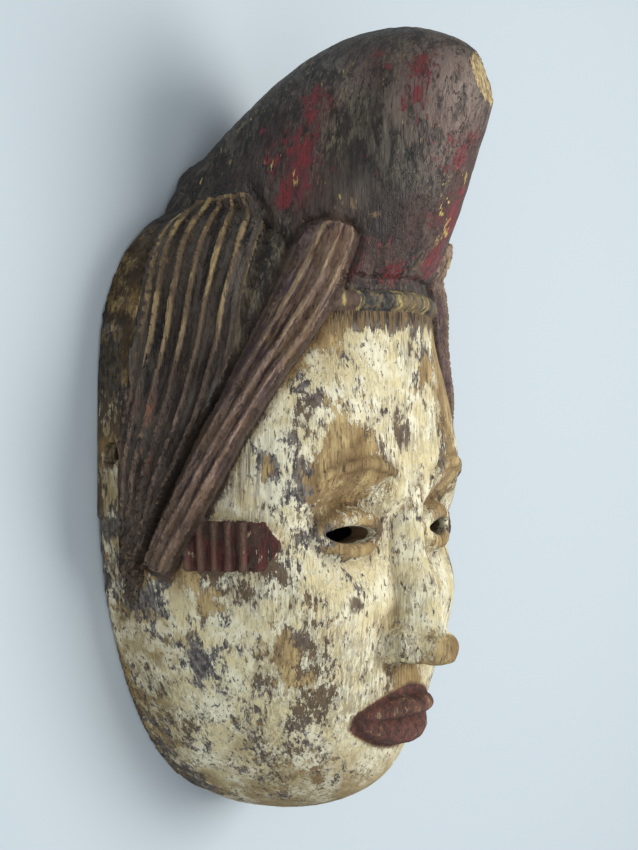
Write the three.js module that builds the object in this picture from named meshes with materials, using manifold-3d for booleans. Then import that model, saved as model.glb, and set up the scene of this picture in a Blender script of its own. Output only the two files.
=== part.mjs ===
// A face mask carved from one block of wood, hollow behind, lying on its back.
// Millimetres. +X runs to the face's left cheek, +Y from the chin to the crest and +Z out of the face.
// The origin is under the middle of the mask, on the flat back of the rim.
import * as THREE from 'three';
import { ParametricGeometry } from 'three/addons/geometries/ParametricGeometry.js';
import { mergeVertices } from 'three/addons/utils/BufferGeometryUtils.js';
import Module from 'manifold-3d';

const wasm = await Module();
wasm.setup();

// Driving dimensions of the whole mask
const LENGTH = 320; // bottom of the chin to the top of the crest
const WIDTH = 165; // across the sides of the head
const FOREHEAD_DEPTH = 96; // back plane to the forehead
const CREST_DEPTH = 129.5; // back plane to the tip of the crest
const CREST_WIDTH = 85; // across the crest where it leaves the head
const RIM_WALL = 13; // thickness of the rim
const FACE_WALL = 16; // thickness behind the forehead
const TIE_HOLE_DIAMETER = 9; // through the rim, one at each temple
const TIE_HOLE_HEIGHT = 8; // from the back plane to the middle of the hole
const EYE_SLIT_HEIGHT = 7;

// The head and its crest keep their proportions to the length
const HALF_WIDTH = WIDTH / 2;
const CHIN_Y = -LENGTH / 2;
const CREST_TOP_Y = LENGTH / 2;
const CROWN_Y = 0.32 * LENGTH; // top of the head, inside the crest
const HAIRLINE_Y = 0.14 * LENGTH; // where the paint of the face begins
const BAND_Y = 0.156 * LENGTH; // middle of the headband
const JAW_Y = -0.053 * LENGTH; // the rim narrows below this
const TEMPLE_Y = 0.058 * LENGTH; // and above this
const TIE_HOLE_Y = -0.031 * LENGTH;
const TUCK = 0.022; // the outline draws in by this share at the back edge
const TUCK_HEIGHT = 0.23 * FOREHEAD_DEPTH;

// The face is a calm one on plain thirds: hairline to brow, brow to nose, nose to chin
const THIRD = (HAIRLINE_Y - CHIN_Y) / 3;
const BROW_Y = HAIRLINE_Y - THIRD;
const NOSE_BASE_Y = BROW_Y - THIRD;
const EYE_Y = BROW_Y - THIRD / 4;
const MOUTH_Y = NOSE_BASE_Y - THIRD / 3;
const CHIN_BALL_Y = NOSE_BASE_Y - 0.76 * THIRD;
const EYE_WIDTH = WIDTH / 5.4; // the face is five eyes wide
const EYE_X = EYE_WIDTH;
const MOUTH_HALF_WIDTH = 0.84 * EYE_WIDTH;

const clamp = (value) => THREE.MathUtils.clamp(value, 0, 1);
const smooth = (from, to, value) => THREE.MathUtils.smoothstep((value - from) / (to - from), 0, 1);
const hump = (offset, reach) => Math.exp(-((offset / reach) ** 2));
const superellipse = (share, power) => Math.max(0, 1 - Math.abs(share) ** power) ** (1 / power);

// Half the head's width. An inset gives the hollow inside it.
function halfWidth(y, inset = 0) {
  const widest = HALF_WIDTH - inset;
  if (y < JAW_Y) return widest * superellipse(Math.min((JAW_Y - y) / (JAW_Y - CHIN_Y - inset), 1), 2.02);
  if (y > TEMPLE_Y) return widest * superellipse(Math.min((y - TEMPLE_Y) / (CROWN_Y - inset - TEMPLE_Y), 1), 2.23);
  return widest;
}

// Depth of the head along its middle line, before the face is carved.
function headDepth(y, inset = 0) {
  const deepest = inset ? FOREHEAD_DEPTH - FACE_WALL : FOREHEAD_DEPTH;
  if (y < TEMPLE_Y) return deepest * superellipse(Math.min((TEMPLE_Y - y) / (TEMPLE_Y - CHIN_Y - inset), 1), 3.48);
  return deepest * superellipse(Math.min((y - TEMPLE_Y) / (CROWN_Y - inset - TEMPLE_Y), 1), 3.2);
}

// How square the head is across: fuller at the cheeks than under the hair.
const sectionPower = (y) => 2.5 - 0.75 * smooth(-0.03 * LENGTH, 0.125 * LENGTH, y);

const drawnIn = (z) => 1 - TUCK * (1 - smooth(0, TUCK_HEIGHT, z));

// The broad forms of the face, as a rise over the smooth head at a place seen from the front.
function faceRelief(x, y) {
  const side = Math.abs(x);
  const across = (side - EYE_X) / EYE_WIDTH;
  const browLine = browHeight(side);
  const socket = smooth(browLine, browLine - 0.24 * THIRD, y) * smooth(EYE_Y - 0.42 * THIRD, EYE_Y - 0.04 * THIRD, y);
  const brow = 0.06 * EYE_WIDTH * hump(y - browLine - 0.05 * THIRD, 0.14 * THIRD);
  const cheekbone = hump(side - 1.5 * EYE_WIDTH, 0.8 * EYE_WIDTH) * hump(y - EYE_Y + 0.45 * THIRD, 0.36 * THIRD);
  const muzzle = hump(side, 1.15 * MOUTH_HALF_WIDTH) * hump(y - MOUTH_Y, 0.36 * THIRD);
  const chin = hump(side, 0.7 * EYE_WIDTH) * hump(y - CHIN_BALL_Y, 0.22 * THIRD);
  return (
    (brow - 0.28 * EYE_WIDTH * socket) * hump(across, 0.9) +
    0.05 * THIRD * cheekbone +
    0.1 * THIRD * muzzle +
    0.1 * THIRD * chin
  );
}

function browHeight(side) {
  const across = (side - EYE_X) / EYE_WIDTH;
  return BROW_Y + 0.12 * THIRD * (1 - 1.9 * across * across);
}

const faceHeight = (x, y) =>
  headDepth(y) * superellipse(Math.min(Math.abs(x / halfWidth(y)), 1), sectionPower(y)) + faceRelief(x, y);

// The crest leans forward over the head. It is cut across at a place along Y: its front, its back and its width.
const CREST_SHOULDER_Y = 0.17 * LENGTH; // it narrows above this
const CREST_FOOT_Y = 0.184 * LENGTH; // where its front rises from behind the headband
const CREST_FOOT_Z = 0.724 * CREST_DEPTH;
const CREST_TIP_Y = 0.412 * LENGTH; // where it reaches furthest forward
const CREST_PEAK_Z = 0.62 * CREST_DEPTH; // the height of its topmost point
const CREST_BACK_Y = 0.35 * LENGTH; // where its back leaves the back plane
const CREST_POWER = 2.5;
const CREST_FLARE = 0.17; // its foot spreads by this share where it runs down to the rim

function crestFront(y) {
  if (y < CREST_FOOT_Y) return CREST_FOOT_Z - 1.2 * (CREST_FOOT_Y - y);
  const share = (y - CREST_FOOT_Y) / (CREST_TIP_Y - CREST_FOOT_Y);
  if (share < 1) return CREST_FOOT_Z + (CREST_DEPTH - CREST_FOOT_Z) * share ** 0.81;
  const over = clamp((y - CREST_TIP_Y) / (CREST_TOP_Y - CREST_TIP_Y));
  return CREST_PEAK_Z + (CREST_DEPTH - CREST_PEAK_Z) * superellipse(over, 2);
}

function crestBack(y) {
  if (y < CREST_BACK_Y) return Math.max(-3.2 * (CREST_BACK_Y - y), -0.4 * CREST_DEPTH);
  return CREST_PEAK_Z * (1 - clamp((CREST_TOP_Y - y) / (CREST_TOP_Y - CREST_BACK_Y)) ** 0.62);
}

function crestMiddle(y) {
  const back = Math.max(crestBack(y), 0);
  return back + 0.29 * (crestFront(y) - back);
}

function crestHalfWidth(y) {
  return (CREST_WIDTH / 2) * superellipse(clamp((y - CREST_SHOULDER_Y) / (CREST_TOP_Y - CREST_SHOULDER_Y)), 2);
}

const crestFlare = (y, z) =>
  1 + CREST_FLARE * smooth(0.345 * LENGTH, 0.27 * LENGTH, y) * smooth(0.45 * CREST_DEPTH, 0.06 * CREST_DEPTH, z);

// How far out a place is: under 1 inside the head or the crest, 1 on the surface.
function outsideHead(x, y, z) {
  const power = sectionPower(y);
  const across = Math.abs(x / drawnIn(z)) / Math.max(halfWidth(y / drawnIn(z)), 0.01);
  const out = Math.max(z, 0) / Math.max(headDepth(y / drawnIn(z)), 0.01);
  return (across ** power + out ** power) ** (1 / power);
}

function outsideCrest(x, y, z) {
  if (y > CREST_TOP_Y) return 2;
  const middle = crestMiddle(y);
  const reach = z > middle ? crestFront(y) - middle : middle - crestBack(y);
  const across = Math.abs(x) / Math.max(crestHalfWidth(y) * crestFlare(y, z), 0.01);
  const out = Math.abs(z - middle) / Math.max(reach, 0.01);
  return (across ** CREST_POWER + out ** CREST_POWER) ** (1 / CREST_POWER);
}

// The bare head seen from an axis inside it: at a turn of 0 it is the side, at 90 degrees the front.
const AXIS_Z = 0.25 * FOREHEAD_DEPTH;

function bareRadius(turn, y) {
  let inside = 0;
  let outside = 2 * FOREHEAD_DEPTH;
  for (let step = 0; step < 24; step += 1) {
    const radius = (inside + outside) / 2;
    const x = radius * Math.cos(turn);
    const z = AXIS_Z + radius * Math.sin(turn);
    if (Math.min(outsideHead(x, y, z), outsideCrest(x, y, z)) < 1) inside = radius;
    else outside = radius;
  }
  return inside;
}

function onHead(turn, y, lift, side) {
  const radius = bareRadius(turn, y) + lift;
  return new THREE.Vector3(side * radius * Math.cos(turn), y, AXIS_Z + radius * Math.sin(turn));
}

// A list of values from stop to stop, each stretch at its own step.
function graded(stops) {
  const values = [stops[0][0]];
  for (let i = 1; i < stops.length; i += 1) {
    const [from] = stops[i - 1];
    const [to, step] = stops[i];
    const count = Math.max(1, Math.round(Math.abs(to - from) / step));
    for (let k = 1; k <= count; k += 1) values.push(from + ((to - from) * k) / count);
  }
  return values;
}

const evenly = (from, to, count) => graded([[from, 0], [to, Math.abs(to - from) / count]]);

function solidFrom(geometry) {
  geometry.deleteAttribute('normal');
  geometry.deleteAttribute('uv');
  const merged = mergeVertices(geometry, 1e-4);
  const corners = merged.index.array;
  const kept = [];
  for (let i = 0; i < corners.length; i += 3) {
    const [a, b, c] = corners.subarray(i, i + 3);
    if (a !== b && b !== c && c !== a) kept.push(a, b, c);
  }
  const vertProperties = merged.attributes.position.array;
  const shell = (triVerts) =>
    new wasm.Manifold(new wasm.Mesh({ numProp: 3, vertProperties, triVerts: new Uint32Array(triVerts) }));
  const solid = shell(kept);
  return solid.volume() > 0 ? solid : shell(kept.reverse());
}

// A closed body of rings: at(column, row) is a point, the columns run round a ring and the rows from end to end.
function ringBody(at, columns, rows) {
  const pick = (list, share) => list[Math.round(share * (list.length - 1))];
  const loop = [...columns, columns[0]];
  const surface = (u, v, target) => target.copy(at(pick(loop, u), pick(rows, v)));
  return solidFrom(new ParametricGeometry(surface, loop.length - 1, rows.length - 1));
}

const fullTurn = (count) => evenly(0, 2 * Math.PI, count).slice(0, -1);

// The columns of the head's section: shares of the width over the front, and of the depth down each side.
function headColumns(frontShares, sideShares) {
  const left = [...frontShares.map((share) => ({ share })), ...sideShares.map((height) => ({ side: 1, height }))];
  const right = left
    .slice(1)
    .reverse()
    .map(({ share, side, height }) => (side ? { side: -1, height } : { share: -share }));
  return [...left, ...right];
}

function headPoint(column, y, inset) {
  const half = halfWidth(y, inset);
  const depth = headDepth(y, inset);
  const power = sectionPower(y);
  let x = half * (column.share ?? 0);
  let z = depth * superellipse(column.share ?? 0, power) + (inset || half < 1 ? 0 : faceRelief(x, y));
  if (column.side) {
    x = column.side * half * superellipse(Math.max(column.height, 0), power);
    z = column.height * (column.height < 0 ? half : depth);
  }
  if (half < 1) z = TUCK_HEIGHT;
  const shrink = inset ? 1 : drawnIn(z);
  return new THREE.Vector3(x * shrink, y * shrink, z);
}

function head() {
  const columns = headColumns(
    [0, 0.07, 0.14, 0.21, 0.28, 0.35, 0.42, 0.49, 0.56, 0.64, 0.72, 0.8],
    [0.66, 0.46, 0.26, 0.1, -0.1]
  );
  const rows = graded([
    [CHIN_Y, 0],
    [CHIN_Y + 0.02 * THIRD, 3],
    [CHIN_Y + 0.2 * THIRD, 3.5],
    [EYE_Y - 0.42 * THIRD, 6.4],
    [BROW_Y + 0.25 * THIRD, 4.4],
    [HAIRLINE_Y, 10],
    [CROWN_Y - 2, 14],
    [CROWN_Y, 2],
  ]);
  return ringBody((column, y) => headPoint(column, y, 0), columns, rows);
}

function hollow() {
  const inset = RIM_WALL + TUCK * HALF_WIDTH;
  const rows = graded([
    [CHIN_Y + inset, 0],
    [CHIN_Y + inset + 1.5, 1.5],
    [CHIN_Y + inset + 12, 4],
    [CROWN_Y - inset - 10, 12],
    [CROWN_Y - inset, 4],
  ]);
  const columns = headColumns([0, 0.25, 0.5, 0.72], [0.6, 0.35, 0, -0.3]);
  return ringBody((column, y) => headPoint(column, y, inset), columns, rows);
}

function crest() {
  const foot = CREST_FOOT_Y - 0.04 * LENGTH;
  const places = graded([
    [foot, 0],
    [CREST_TIP_Y, 9],
    [CREST_TOP_Y - 0.03 * LENGTH, 5],
    [CREST_TOP_Y - 0.006 * LENGTH, 2.6],
    [CREST_TOP_Y, 2],
  ]);
  const rows = [{ y: foot, size: 0 }, ...places.map((y) => ({ y, size: 1 }))];
  const bulge = (value) => Math.sign(value) * Math.abs(value) ** (2 / CREST_POWER);
  return ringBody(
    (turn, { y, size }) => {
      const middle = crestMiddle(y);
      const reach = Math.sin(turn) > 0 ? crestFront(y) - middle : middle - crestBack(y);
      const z = middle + size * reach * bulge(Math.sin(turn));
      return new THREE.Vector3(size * crestHalfWidth(y) * crestFlare(y, z) * bulge(Math.cos(turn)), y, z);
    },
    fullTurn(28),
    rows
  );
}

// Flutes across a lock: hollows between sharp ridges, from one edge at -1 to the other at 1.
function fluteShare(across, flutes) {
  const place = ((across + 1) / 2) * flutes;
  return Math.sin(Math.PI * (place - Math.floor(place)));
}

// A lock of hair: a fluted strip laid on the head and rooted below its surface.
// Each station gives the turn in degrees, the place along Y and the half width.
const LOCK_ROOT = 13;

function lock({ stations, height, crown, flutes, fluteDepth }, side) {
  const course = new THREE.CatmullRomCurve3(stations.map(([turn, y, half]) => new THREE.Vector3(turn, y, half)));
  const ridges = evenly(-1, 1, flutes);
  const over = ridges.flatMap((ridge, i) => (i < flutes ? [0, 0.3, 0.7].map((part) => ridge + (2 * part) / flutes) : ridge));
  const columns = [...over.map((across) => ({ across, raised: 1 })), { across: 1, raised: 0 }, { across: -1, raised: 0 }];
  const rows = graded([
    [0, 0],
    [0.03, 0.015],
    [0.97, 0.1],
    [1, 0.015],
  ]);
  return ringBody(
    ({ across, raised }, along) => {
      const here = course.getPoint(along);
      const ahead = course.getPoint(Math.min(along + 0.01, 1)).sub(course.getPoint(Math.max(along - 0.01, 0)));
      const turn = THREE.MathUtils.degToRad(here.x);
      const radius = bareRadius(turn, here.y);
      const heading = new THREE.Vector2(THREE.MathUtils.degToRad(ahead.x) * radius, ahead.y).normalize();
      const reach = across * here.z * superellipse(2 * along - 1, 8);
      const rise = height * (1 - crown * across * across) - fluteDepth * fluteShare(across, flutes);
      const lift = raised ? rise * superellipse(2 * along - 1, 6) : -LOCK_ROOT;
      return onHead(turn + (heading.y * reach) / radius, here.y - heading.x * reach, lift, side);
    },
    columns,
    rows
  );
}

const FRONT_LOCK = {
  stations: [
    [60, 0.25 * LENGTH, 9],
    [56, 0.205 * LENGTH, 11],
    [46.5, 0.142 * LENGTH, 11],
    [35.7, 0.073 * LENGTH, 9],
    [27.7, 0.011 * LENGTH, 8],
    [20.7, -0.047 * LENGTH, 8],
    [13.4, -0.106 * LENGTH, 7.5],
    [4.5, -0.17 * LENGTH, 6],
  ],
  height: 9.5,
  crown: 0.62,
  flutes: 4,
  fluteDepth: 2.4,
};

const BACK_LOCK = {
  stations: [
    [11, 0.293 * LENGTH, 13],
    [12.5, 0.25 * LENGTH, 20],
    [12.8, 0.155 * LENGTH, 18.5],
    [9.5, 0.031 * LENGTH, 18.5],
    [4, -0.047 * LENGTH, 14.5],
    [0.5, -0.106 * LENGTH, 9.5],
    [-3.5, -0.17 * LENGTH, 5],
    [-5.8, -0.206 * LENGTH, 2],
  ],
  height: 5.5,
  crown: 0.15,
  flutes: 6,
  fluteDepth: 2.4,
};

// The close hair showing between the two locks.
const HAIR_GROUND = {
  stations: [
    [39, 0.258 * LENGTH, 12],
    [39, 0.2 * LENGTH, 14],
    [35, 0.14 * LENGTH, 13],
    [28, 0.07 * LENGTH, 12],
    [21, 0.01 * LENGTH, 9],
    [9, -0.11 * LENGTH, 5],
  ],
  height: 1.4,
  crown: 0,
  flutes: 2,
  fluteDepth: 0,
};

// A rounded roll laid across the face: its middle line and its half height at a share along it from -1 to 1.
function roll({ x, y, half, height, sink = 0 }, blunt, around, stations) {
  return ringBody(
    (turn, along) => {
      const size = superellipse(along, blunt);
      const place = y(along);
      const z = faceHeight(x(along), place) - sink + height(along) * size * Math.sin(turn);
      return new THREE.Vector3(x(along), place + half(along) * size * Math.cos(turn), z);
    },
    fullTurn(around),
    graded([
      [-1, 0],
      [-0.94, 0.06],
      [0.94, 1.88 / stations],
      [1, 0.06],
    ])
  );
}

const BAND = {
  x: (along) => 0.52 * HALF_WIDTH * along,
  y: (along) => BAND_Y - 0.004 * LENGTH * along * along,
  half: () => 0.012 * LENGTH,
  height: () => 0.011 * LENGTH,
};

const UPPER_LIP = {
  x: (along) => MOUTH_HALF_WIDTH * along,
  y: (along) => MOUTH_Y + 0.075 * THIRD * (1 - 0.25 * hump(along, 0.16) - 0.75 * along * along),
  half: (along) => 0.075 * THIRD * (1 - 0.18 * hump(along, 0.16)),
  height: (along) => 0.115 * THIRD * (1 - 0.4 * along * along),
};

const LOWER_LIP = {
  x: (along) => 0.9 * MOUTH_HALF_WIDTH * along,
  y: (along) => MOUTH_Y - 0.085 * THIRD * (1 - 0.7 * along * along),
  half: (along) => 0.085 * THIRD * (1 - 0.2 * along * along),
  height: (along) => 0.12 * THIRD * (1 - 0.4 * along * along),
};

function lid(side, rise) {
  return {
    x: (along) => side * (EYE_X + 0.56 * EYE_WIDTH * along),
    y: (along) => EYE_Y + rise * (1 - along * along),
    half: () => 0.075 * THIRD,
    height: (along) => 0.26 * EYE_WIDTH - 0.06 * EYE_WIDTH * along * along,
    sink: 0.03 * EYE_WIDTH,
  };
}

function brow(side) {
  return {
    x: (along) => side * EYE_WIDTH * (1 + 0.78 * along),
    y: (along) => browHeight(EYE_WIDTH * (1 + 0.78 * along)) + 0.03 * THIRD,
    half: () => 0.045 * THIRD,
    height: () => 0.035 * THIRD,
  };
}

// Upright ribs on the temple between the lock and the eye, on a low pad that tapers to the eye.
const TEMPLE_MARK = { y: -0.138 * LENGTH, half: 0.031 * LENGTH, height: 3, from: 13, to: 41, ribs: 5 };

function templeMark(side) {
  const { y: middleY, half, height, from, to, ribs } = TEMPLE_MARK;
  const ribbed = 0.7; // share of the pad's length that carries ribs
  const columns = [
    ...[-1, -0.88, 0.88, 1].map((across) => ({ across, raised: 1 })),
    ...[1, -1].map((across) => ({ across, raised: 0 })),
  ];
  const rows = graded([
    [0, 0],
    [0.03, 0.03],
    [ribbed, ribbed / (ribs * 3)],
    [0.97, 0.09],
    [1, 0.03],
  ]);
  return ringBody(
    ({ across, raised }, along) => {
      const turn = THREE.MathUtils.degToRad(THREE.MathUtils.lerp(from, to, along));
      const open = along > 0 && along < 1 ? 1 : 0;
      const reach = open * half * (1 - 0.75 * smooth(0.8, 1, along));
      const rib = along < ribbed ? fluteShare((2 * along) / ribbed - 1, ribs) : 0.35;
      const edge = Math.abs(across) > 0.9 ? 0.2 : 1;
      const lift = raised ? height * edge * (0.3 + 0.7 * rib) : -LOCK_ROOT;
      return onHead(turn, middleY + across * reach, open * lift, side);
    },
    columns,
    rows
  );
}

function ball(x, y, sunk, ...radii) {
  const sphere = new THREE.SphereGeometry(1, 10, 7);
  sphere.scale(...radii);
  sphere.translate(x, y, faceHeight(x, y) - sunk);
  return solidFrom(sphere);
}

// The nose from its root between the brows to its flat base.
function nose() {
  const rows = [0, 0.04, 0.2, 0.4, 0.6, 0.78, 0.92, 1, 1.001];
  const columns = [...evenly(-1, 1, 8).map((across) => ({ across, over: 1 })), { across: 1 }, { across: -1 }];
  return ringBody(
    ({ across, over }, down) => {
      const y = THREE.MathUtils.lerp(BROW_Y + 0.04 * THIRD, NOSE_BASE_Y, Math.min(down, 1));
      const half = EYE_WIDTH * (0.25 + 0.23 * down ** 1.6);
      const inside = down > 0 && down <= 1 ? 1 : 0;
      const rise = (0.02 + 0.3 * down ** 1.25) * THIRD * superellipse(across, 1.5) ** 1.2;
      const place = over ? faceHeight(across * half, y) + rise : faceHeight(0, y) - 12;
      return new THREE.Vector3(inside * across * half, y, inside ? place : faceHeight(0, y) - 6);
    },
    columns,
    rows
  );
}

function eyeSlit(side) {
  const half = 0.46 * EYE_WIDTH;
  const outline = new THREE.Shape();
  outline.moveTo(-half, 0);
  outline.quadraticCurveTo(0, 0.9 * EYE_SLIT_HEIGHT, half, 0);
  outline.quadraticCurveTo(0, -1.1 * EYE_SLIT_HEIGHT, -half, 0);
  const slit = new THREE.ExtrudeGeometry(outline, { depth: FOREHEAD_DEPTH, bevelEnabled: false, curveSegments: 8 });
  slit.translate(side * EYE_X, EYE_Y, FOREHEAD_DEPTH / 3);
  return solidFrom(slit);
}

function tieHole(side) {
  const hole = new THREE.CylinderGeometry(TIE_HOLE_DIAMETER / 2, TIE_HOLE_DIAMETER / 2, 4 * RIM_WALL, 16);
  hole.rotateZ(Math.PI / 2);
  hole.translate(side * (HALF_WIDTH - RIM_WALL / 2), TIE_HOLE_Y, TIE_HOLE_HEIGHT);
  return solidFrom(hole);
}

// Everything behind the back plane, to be cut away.
function behind() {
  const block = new THREE.BoxGeometry(2 * WIDTH, 2 * LENGTH, FOREHEAD_DEPTH);
  block.translate(0, 0, -FOREHEAD_DEPTH / 2);
  return solidFrom(block);
}

// The break on the tip of the crest, where a chip of wood has gone.
function tipBreak() {
  const chip = new THREE.BoxGeometry(CREST_WIDTH, 0.25 * LENGTH, 20);
  chip.rotateX(-0.24);
  chip.rotateY(0.27);
  chip.translate(0, CREST_TIP_Y, CREST_DEPTH + 8.7);
  return solidFrom(chip);
}

function carve() {
  let wood = head()
    .add(crest())
    .add(roll(BAND, 10, 6, 10))
    .add(nose())
    .add(roll(UPPER_LIP, 2.2, 8, 10))
    .add(roll(LOWER_LIP, 2.2, 8, 10))
    .add(ball(0, NOSE_BASE_Y + 0.085 * THIRD, -0.19 * THIRD, 0.14 * THIRD, 0.11 * THIRD, 0.14 * THIRD));
  for (const side of [-1, 1]) {
    wood = wood
      .add(lock(HAIR_GROUND, side))
      .add(lock(FRONT_LOCK, side))
      .add(lock(BACK_LOCK, side))
      .add(templeMark(side))
      .add(roll(lid(side, 0.085 * THIRD), 3, 7, 8))
      .add(roll(lid(side, -0.095 * THIRD), 3, 7, 8))
      .add(roll(brow(side), 2.5, 6, 8))
      .add(ball(side * 0.29 * EYE_WIDTH, NOSE_BASE_Y + 0.11 * THIRD, 0, 0.11 * THIRD, 0.115 * THIRD, 0.17 * THIRD));
  }
  wood = wood.subtract(hollow()).subtract(behind()).subtract(tipBreak());
  for (const side of [-1, 1]) wood = wood.subtract(eyeSlit(side)).subtract(tieHole(side));
  return wood;
}

// The corners of the outer shell alone, so that a sliver of air shut in where two faceted forms cross is filled.
function outerShell(triVerts, vertexCount) {
  const parent = Array.from({ length: vertexCount }, (_, i) => i);
  const find = (vertex) => {
    let top = vertex;
    while (parent[top] !== top) top = parent[top] = parent[parent[top]];
    return top;
  };
  for (let i = 0; i < triVerts.length; i += 3) {
    parent[find(triVerts[i + 1])] = find(triVerts[i]);
    parent[find(triVerts[i + 2])] = find(triVerts[i]);
  }
  const sizes = new Map();
  for (const vertex of triVerts) sizes.set(find(vertex), (sizes.get(find(vertex)) ?? 0) + 1);
  const [outer] = [...sizes].reduce((a, b) => (b[1] > a[1] ? b : a));
  return triVerts.filter((vertex) => find(vertex) === outer);
}

function geometryFrom(solid) {
  const { vertProperties, triVerts } = solid.getMesh();
  const corners = outerShell(triVerts, vertProperties.length / 3);
  const geometry = new THREE.BufferGeometry();
  geometry.setAttribute('position', new THREE.BufferAttribute(new Float32Array(vertProperties), 3));
  geometry.setIndex(new THREE.BufferAttribute(new Uint32Array(corners), 1));
  const flat = geometry.toNonIndexed();
  flat.computeVertexNormals();
  return flat;
}

const paintedWood = new THREE.MeshStandardMaterial({ color: 0xb7a987, roughness: 0.85, metalness: 0 });
const mask = new THREE.Mesh(geometryFrom(carve()), paintedWood);
mask.name = 'mask';

const part = new THREE.Group();
part.add(mask);

export default part;
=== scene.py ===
# %% [markdown]
# # A carved and painted face mask
# The real object is one block of light wood, hollowed from behind, carved with an adze and a
# knife, and painted: white kaolin on the face, dark paint on the hair and the crest. The packed
# CAD solid gives the block its form and its place. Here that form gets its fine carving, and a
# material built from layers, as the real paint is: wood, a grey undercoat, kaolin, then dirt
# and wear. Everything is in metres, in the frame of the CAD. The carving is worked out in
# millimetres, because that is how a carver thinks of a groove, and is brought back at the end.

# %% Load the packed part
import math

import bmesh
import bpy
import numpy as np
from mathutils import Matrix, Vector, noise


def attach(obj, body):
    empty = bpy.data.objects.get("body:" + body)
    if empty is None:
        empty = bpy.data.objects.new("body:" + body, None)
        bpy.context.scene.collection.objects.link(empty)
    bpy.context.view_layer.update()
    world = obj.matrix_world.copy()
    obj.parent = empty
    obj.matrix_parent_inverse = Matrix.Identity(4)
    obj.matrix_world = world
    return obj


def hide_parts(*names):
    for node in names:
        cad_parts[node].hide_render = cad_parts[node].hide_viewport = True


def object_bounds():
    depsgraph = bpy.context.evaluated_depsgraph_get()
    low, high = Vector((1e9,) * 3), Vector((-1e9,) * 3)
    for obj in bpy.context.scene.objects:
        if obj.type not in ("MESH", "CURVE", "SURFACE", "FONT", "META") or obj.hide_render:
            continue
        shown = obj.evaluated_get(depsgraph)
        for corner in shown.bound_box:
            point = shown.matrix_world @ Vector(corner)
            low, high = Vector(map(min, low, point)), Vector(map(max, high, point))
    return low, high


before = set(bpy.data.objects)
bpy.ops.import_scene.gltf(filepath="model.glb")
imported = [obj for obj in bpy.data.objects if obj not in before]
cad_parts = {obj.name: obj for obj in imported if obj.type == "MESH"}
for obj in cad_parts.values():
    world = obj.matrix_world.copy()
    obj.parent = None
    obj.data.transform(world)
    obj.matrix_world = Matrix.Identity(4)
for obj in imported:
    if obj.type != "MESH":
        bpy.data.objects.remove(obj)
cad_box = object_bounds()
print("CAD box:", [tuple(round(v, 4) for v in corner) for corner in cad_box])

# %% [markdown]
# ## The camera
# The photograph was taken from the mask's right side, about 37 degrees above the plane of its
# rim, with the crest up in the picture. The mask lies on its back here, so the camera looks
# down on it from beside it, and its own up is along +Y.

# %% Place the camera
CAMERA_AIM = Vector((0.0136, 0.0012, 0.0383))
CAMERA_RIGHT = Vector((0.6018, 0.0, 0.7986)).normalized()
CAMERA_UP = Vector((0.0, 1.0, 0.0))
CAMERA_DISTANCE = 0.634
CAMERA_LENS = 62.85  # mm, on a sensor whose long side is 36 mm

backward = CAMERA_RIGHT.cross(CAMERA_UP)
camera_data = bpy.data.cameras.new("photo_view")
camera_data.lens = CAMERA_LENS
camera_data.sensor_width = 36.0
camera_data.sensor_fit = "AUTO"
camera = bpy.data.objects.new("photo_view", camera_data)
bpy.context.scene.collection.objects.link(camera)
turned = Matrix((CAMERA_RIGHT, CAMERA_UP, backward)).transposed().to_4x4()
camera.matrix_world = Matrix.Translation(CAMERA_AIM + CAMERA_DISTANCE * backward) @ turned
bpy.context.scene.camera = camera
print("camera at", tuple(round(v, 4) for v in camera.matrix_world.translation))

# %% [markdown]
# ## The carver's sizes
# The forms are smooth curves of a few sizes: how wide and how deep the head is at each place
# along it, and the same for the crest. They are the same sizes as in the CAD, so the fine
# surface lies where the solid's facets do.

# %% Sizes in millimetres
LENGTH, WIDTH, FOREHEAD_DEPTH = 320.0, 165.0, 96.0
CREST_DEPTH, CREST_WIDTH = 129.5, 85.0
HALF_WIDTH = WIDTH / 2
CHIN_Y, CREST_TOP_Y = -LENGTH / 2, LENGTH / 2
CROWN_Y, HAIRLINE_Y, BAND_Y = 0.32 * LENGTH, 0.14 * LENGTH, 0.156 * LENGTH
JAW_Y, TEMPLE_Y = -0.053 * LENGTH, 0.058 * LENGTH
TUCK, TUCK_HEIGHT = 0.022, 0.23 * FOREHEAD_DEPTH
AXIS_Z = 0.25 * FOREHEAD_DEPTH

THIRD = (HAIRLINE_Y - CHIN_Y) / 3  # the face is a calm one on plain thirds
BROW_Y = HAIRLINE_Y - THIRD
NOSE_BASE_Y = BROW_Y - THIRD
EYE_Y = BROW_Y - THIRD / 4
MOUTH_Y = NOSE_BASE_Y - THIRD / 3
CHIN_BALL_Y = NOSE_BASE_Y - 0.76 * THIRD
EYE_WIDTH = WIDTH / 5.4
EYE_X = EYE_WIDTH
MOUTH_HALF_WIDTH = 0.84 * EYE_WIDTH

CREST_SHOULDER_Y, CREST_FOOT_Y, CREST_FOOT_Z = 0.17 * LENGTH, 0.184 * LENGTH, 0.724 * CREST_DEPTH
CREST_TIP_Y, CREST_PEAK_Z, CREST_BACK_Y = 0.412 * LENGTH, 0.62 * CREST_DEPTH, 0.35 * LENGTH
CREST_POWER, CREST_FLARE = 2.5, 0.17
print("a third of the face is", round(THIRD, 1), "mm")


# %% Curves that the forms are made of
def smooth(start, end, value):
    """0 before start, 1 past end, with an even ease between them."""
    share = np.clip((value - start) / (end - start), 0.0, 1.0)
    return share * share * (3 - 2 * share)


def hump(offset, reach):
    return np.exp(-((offset / reach) ** 2))


def superellipse(share, power):
    return np.maximum(0.0, 1 - np.abs(share) ** power) ** (1 / power)


print("half way, an ease is at", smooth(0, 1, 0.5), "and a circle at", superellipse(0.5, 2))


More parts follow.
